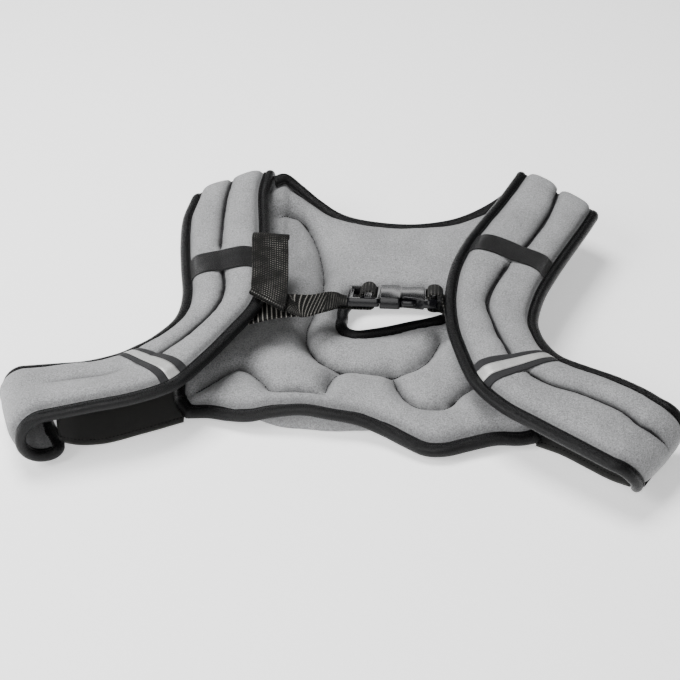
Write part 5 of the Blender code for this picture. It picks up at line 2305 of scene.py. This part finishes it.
@dataclass(frozen=True)
class Studio:
    """Pale floor, soft light and the camera, which looks at a target from a way off in metres."""

    target: Row = (-17.14, -3.45, 0.0)
    way: Row = (0.1582, -0.9988, 0.7347)
    lens: float = 76.103
    sensor: float = 36.0
    floor_size: float = 60.0
    floor_glow: float = 0.6
    surround: float = 0.10
    lights: tuple[Light, ...] = (
        Light("side_light", (-1.1, -0.8, 1.1), 0.9, 27.0),
        Light("front_light", (0.15, -1.9, 0.9), 1.3, 22.0),
        Light("top_light", (-0.55, 0.35, 1.7), 0.9, 48.0),
    )

    def build(self, floor_finish: bpy.types.Material) -> None:
        """Make the floor, lights and camera.

        Args:
            floor_finish: The floor's material.
        """
        bpy.ops.object.select_all(action="DESELECT")
        bpy.ops.mesh.primitive_plane_add(size=self.floor_size)
        floor = bpy.context.active_object
        floor.name = floor.data.name = "studio_floor"
        floor.data.materials.append(floor_finish)
        shader = floor_finish.node_tree.nodes["Principled BSDF"]
        shader.inputs["Emission Color"].default_value = (1, 1, 1, 1)
        shader.inputs["Emission Strength"].default_value = self.floor_glow
        world = bpy.data.worlds.new("studio")
        world.use_nodes = True
        world.node_tree.nodes["Background"].inputs["Color"].default_value = (1, 1, 1, 1)
        world.node_tree.nodes["Background"].inputs["Strength"].default_value = self.surround
        bpy.context.scene.world = world
        for light in self.lights:
            light.add()
        target = Vector(self.target) * MM
        bpy.ops.object.camera_add(location=target + Vector(self.way))
        camera = bpy.context.active_object
        camera.name = "camera"
        camera.rotation_euler = (target - camera.location).to_track_quat("-Z", "Y").to_euler()
        camera.data.lens = self.lens
        camera.data.sensor_width = self.sensor
        bpy.context.scene.camera = camera


def pucker(x: float, y: float, angle: float) -> tuple[Crease, ...]:
    """Return short creases that run out from a place where a sewn line pulls in.

    Args:
        x: The place across, in the tables' axes.
        y: The place along.
        angle: The longest crease's direction in degrees.

    Returns:
        The creases.
    """
    turns = ((0, 16, -0.9), (28, 12, 0.7), (-26, 12, 0.7), (52, 9, -0.6), (-50, 9, -0.6), (90, 8, 0.5))
    return tuple(Crease(x, y, angle + turn, length, 1.8, height) for turn, length, height in turns)


def make_finishes() -> dict[str, bpy.types.Material]:
    """Make every finish of the vest.

    Returns:
        The materials by slot, and the thread's.
    """
    finishes = (
        Neoprene("neoprene", (0.12, 0.121, 0.123), (0.34, 0.342, 0.347), roughness=0.86, sheen=0.2,
                 sheen_roughness=0.45, specular=0.3),
        Finish("thread", (0.002, 0.002, 0.002), (0.007, 0.007, 0.008), roughness=0.7, sheen=0.03,
               specular=0.15),
        Woven("tape", (0.0015, 0.0015, 0.0016), (0.006, 0.006, 0.0065), roughness=0.3, sheen=0.0,
              specular=0.17),
        Woven("label", (0.002, 0.002, 0.002), (0.008, 0.008, 0.009), roughness=0.34, sheen=0.02,
              specular=0.36, across=0.022, along=0.03),
        Woven("band", (0.004, 0.004, 0.005), (0.028, 0.028, 0.030), roughness=0.66, sheen=0.06,
              specular=0.25, across=0.05, along=0.05),
        Reflective("reflective", (0.2, 0.2, 0.195), (0.5, 0.5, 0.49), roughness=0.4, sheen=0.0),
        Woven("belt", (0.014, 0.014, 0.013), (0.055, 0.055, 0.052), roughness=0.7, sheen=0.1,
              specular=0.2, across=0.09, along=0.06),
        Webbing("webbing", (0.001, 0.001, 0.001), (0.005, 0.005, 0.0045), roughness=0.6, sheen=0.0,
                specular=0.12),
        Plastic("buckle", (0.002, 0.002, 0.003), (0.02, 0.02, 0.02), roughness=0.2, sheen=0.0,
                specular=0.3),
    )
    return {finish.name: finish.make() for finish in finishes}


def main() -> None:
    """Build the vest and the studio."""
    logging.basicConfig(level=logging.INFO, format="%(name)s: %(message)s")
    left = PaddedStrap(
        Side.LEFT, STRAP_LEFT, curl_sweep=222.0, curl_steps=9, curl_drift=((0, 0), (0, 0)),
        label_at=135.5, reflector_at=286.0, label_width=29.5,
        creases=(*pucker(-119, -10, 60), Crease(-182, -126, 160, 14, 2.5, -0.7),
                 Crease(-176, -120, 140, 10, 2.0, 0.6)),
    )
    right = PaddedStrap(
        Side.RIGHT, STRAP_RIGHT, curl_sweep=150.0, curl_steps=6, curl_drift=((12, 18), (3, 5)),
        label_at=121.0, reflector_at=282.0, label_width=25.5,
        creases=(*pucker(111, 43, 80), *pucker(121, 1, 20), *pucker(125, -96, 130),
                 *pucker(231, -153, 150)),
    )
    panel = BackPanel(creases=(
        Crease(-4, 88, 8, 34, 4.0, -1.6), Crease(10, 96, 8, 30, 7.0, 1.2),
        Crease(-74, 78, 70, 20, 4.0, 1.0),
    ))
    Vest(left, right, panel, make_finishes()).build()
    floor = Finish("studio_floor", (0.93, 0.93, 0.93), (0.95, 0.95, 0.95), roughness=0.9, sheen=0.0)
    Studio().build(floor.make())


if __name__ == "__main__":
    main()
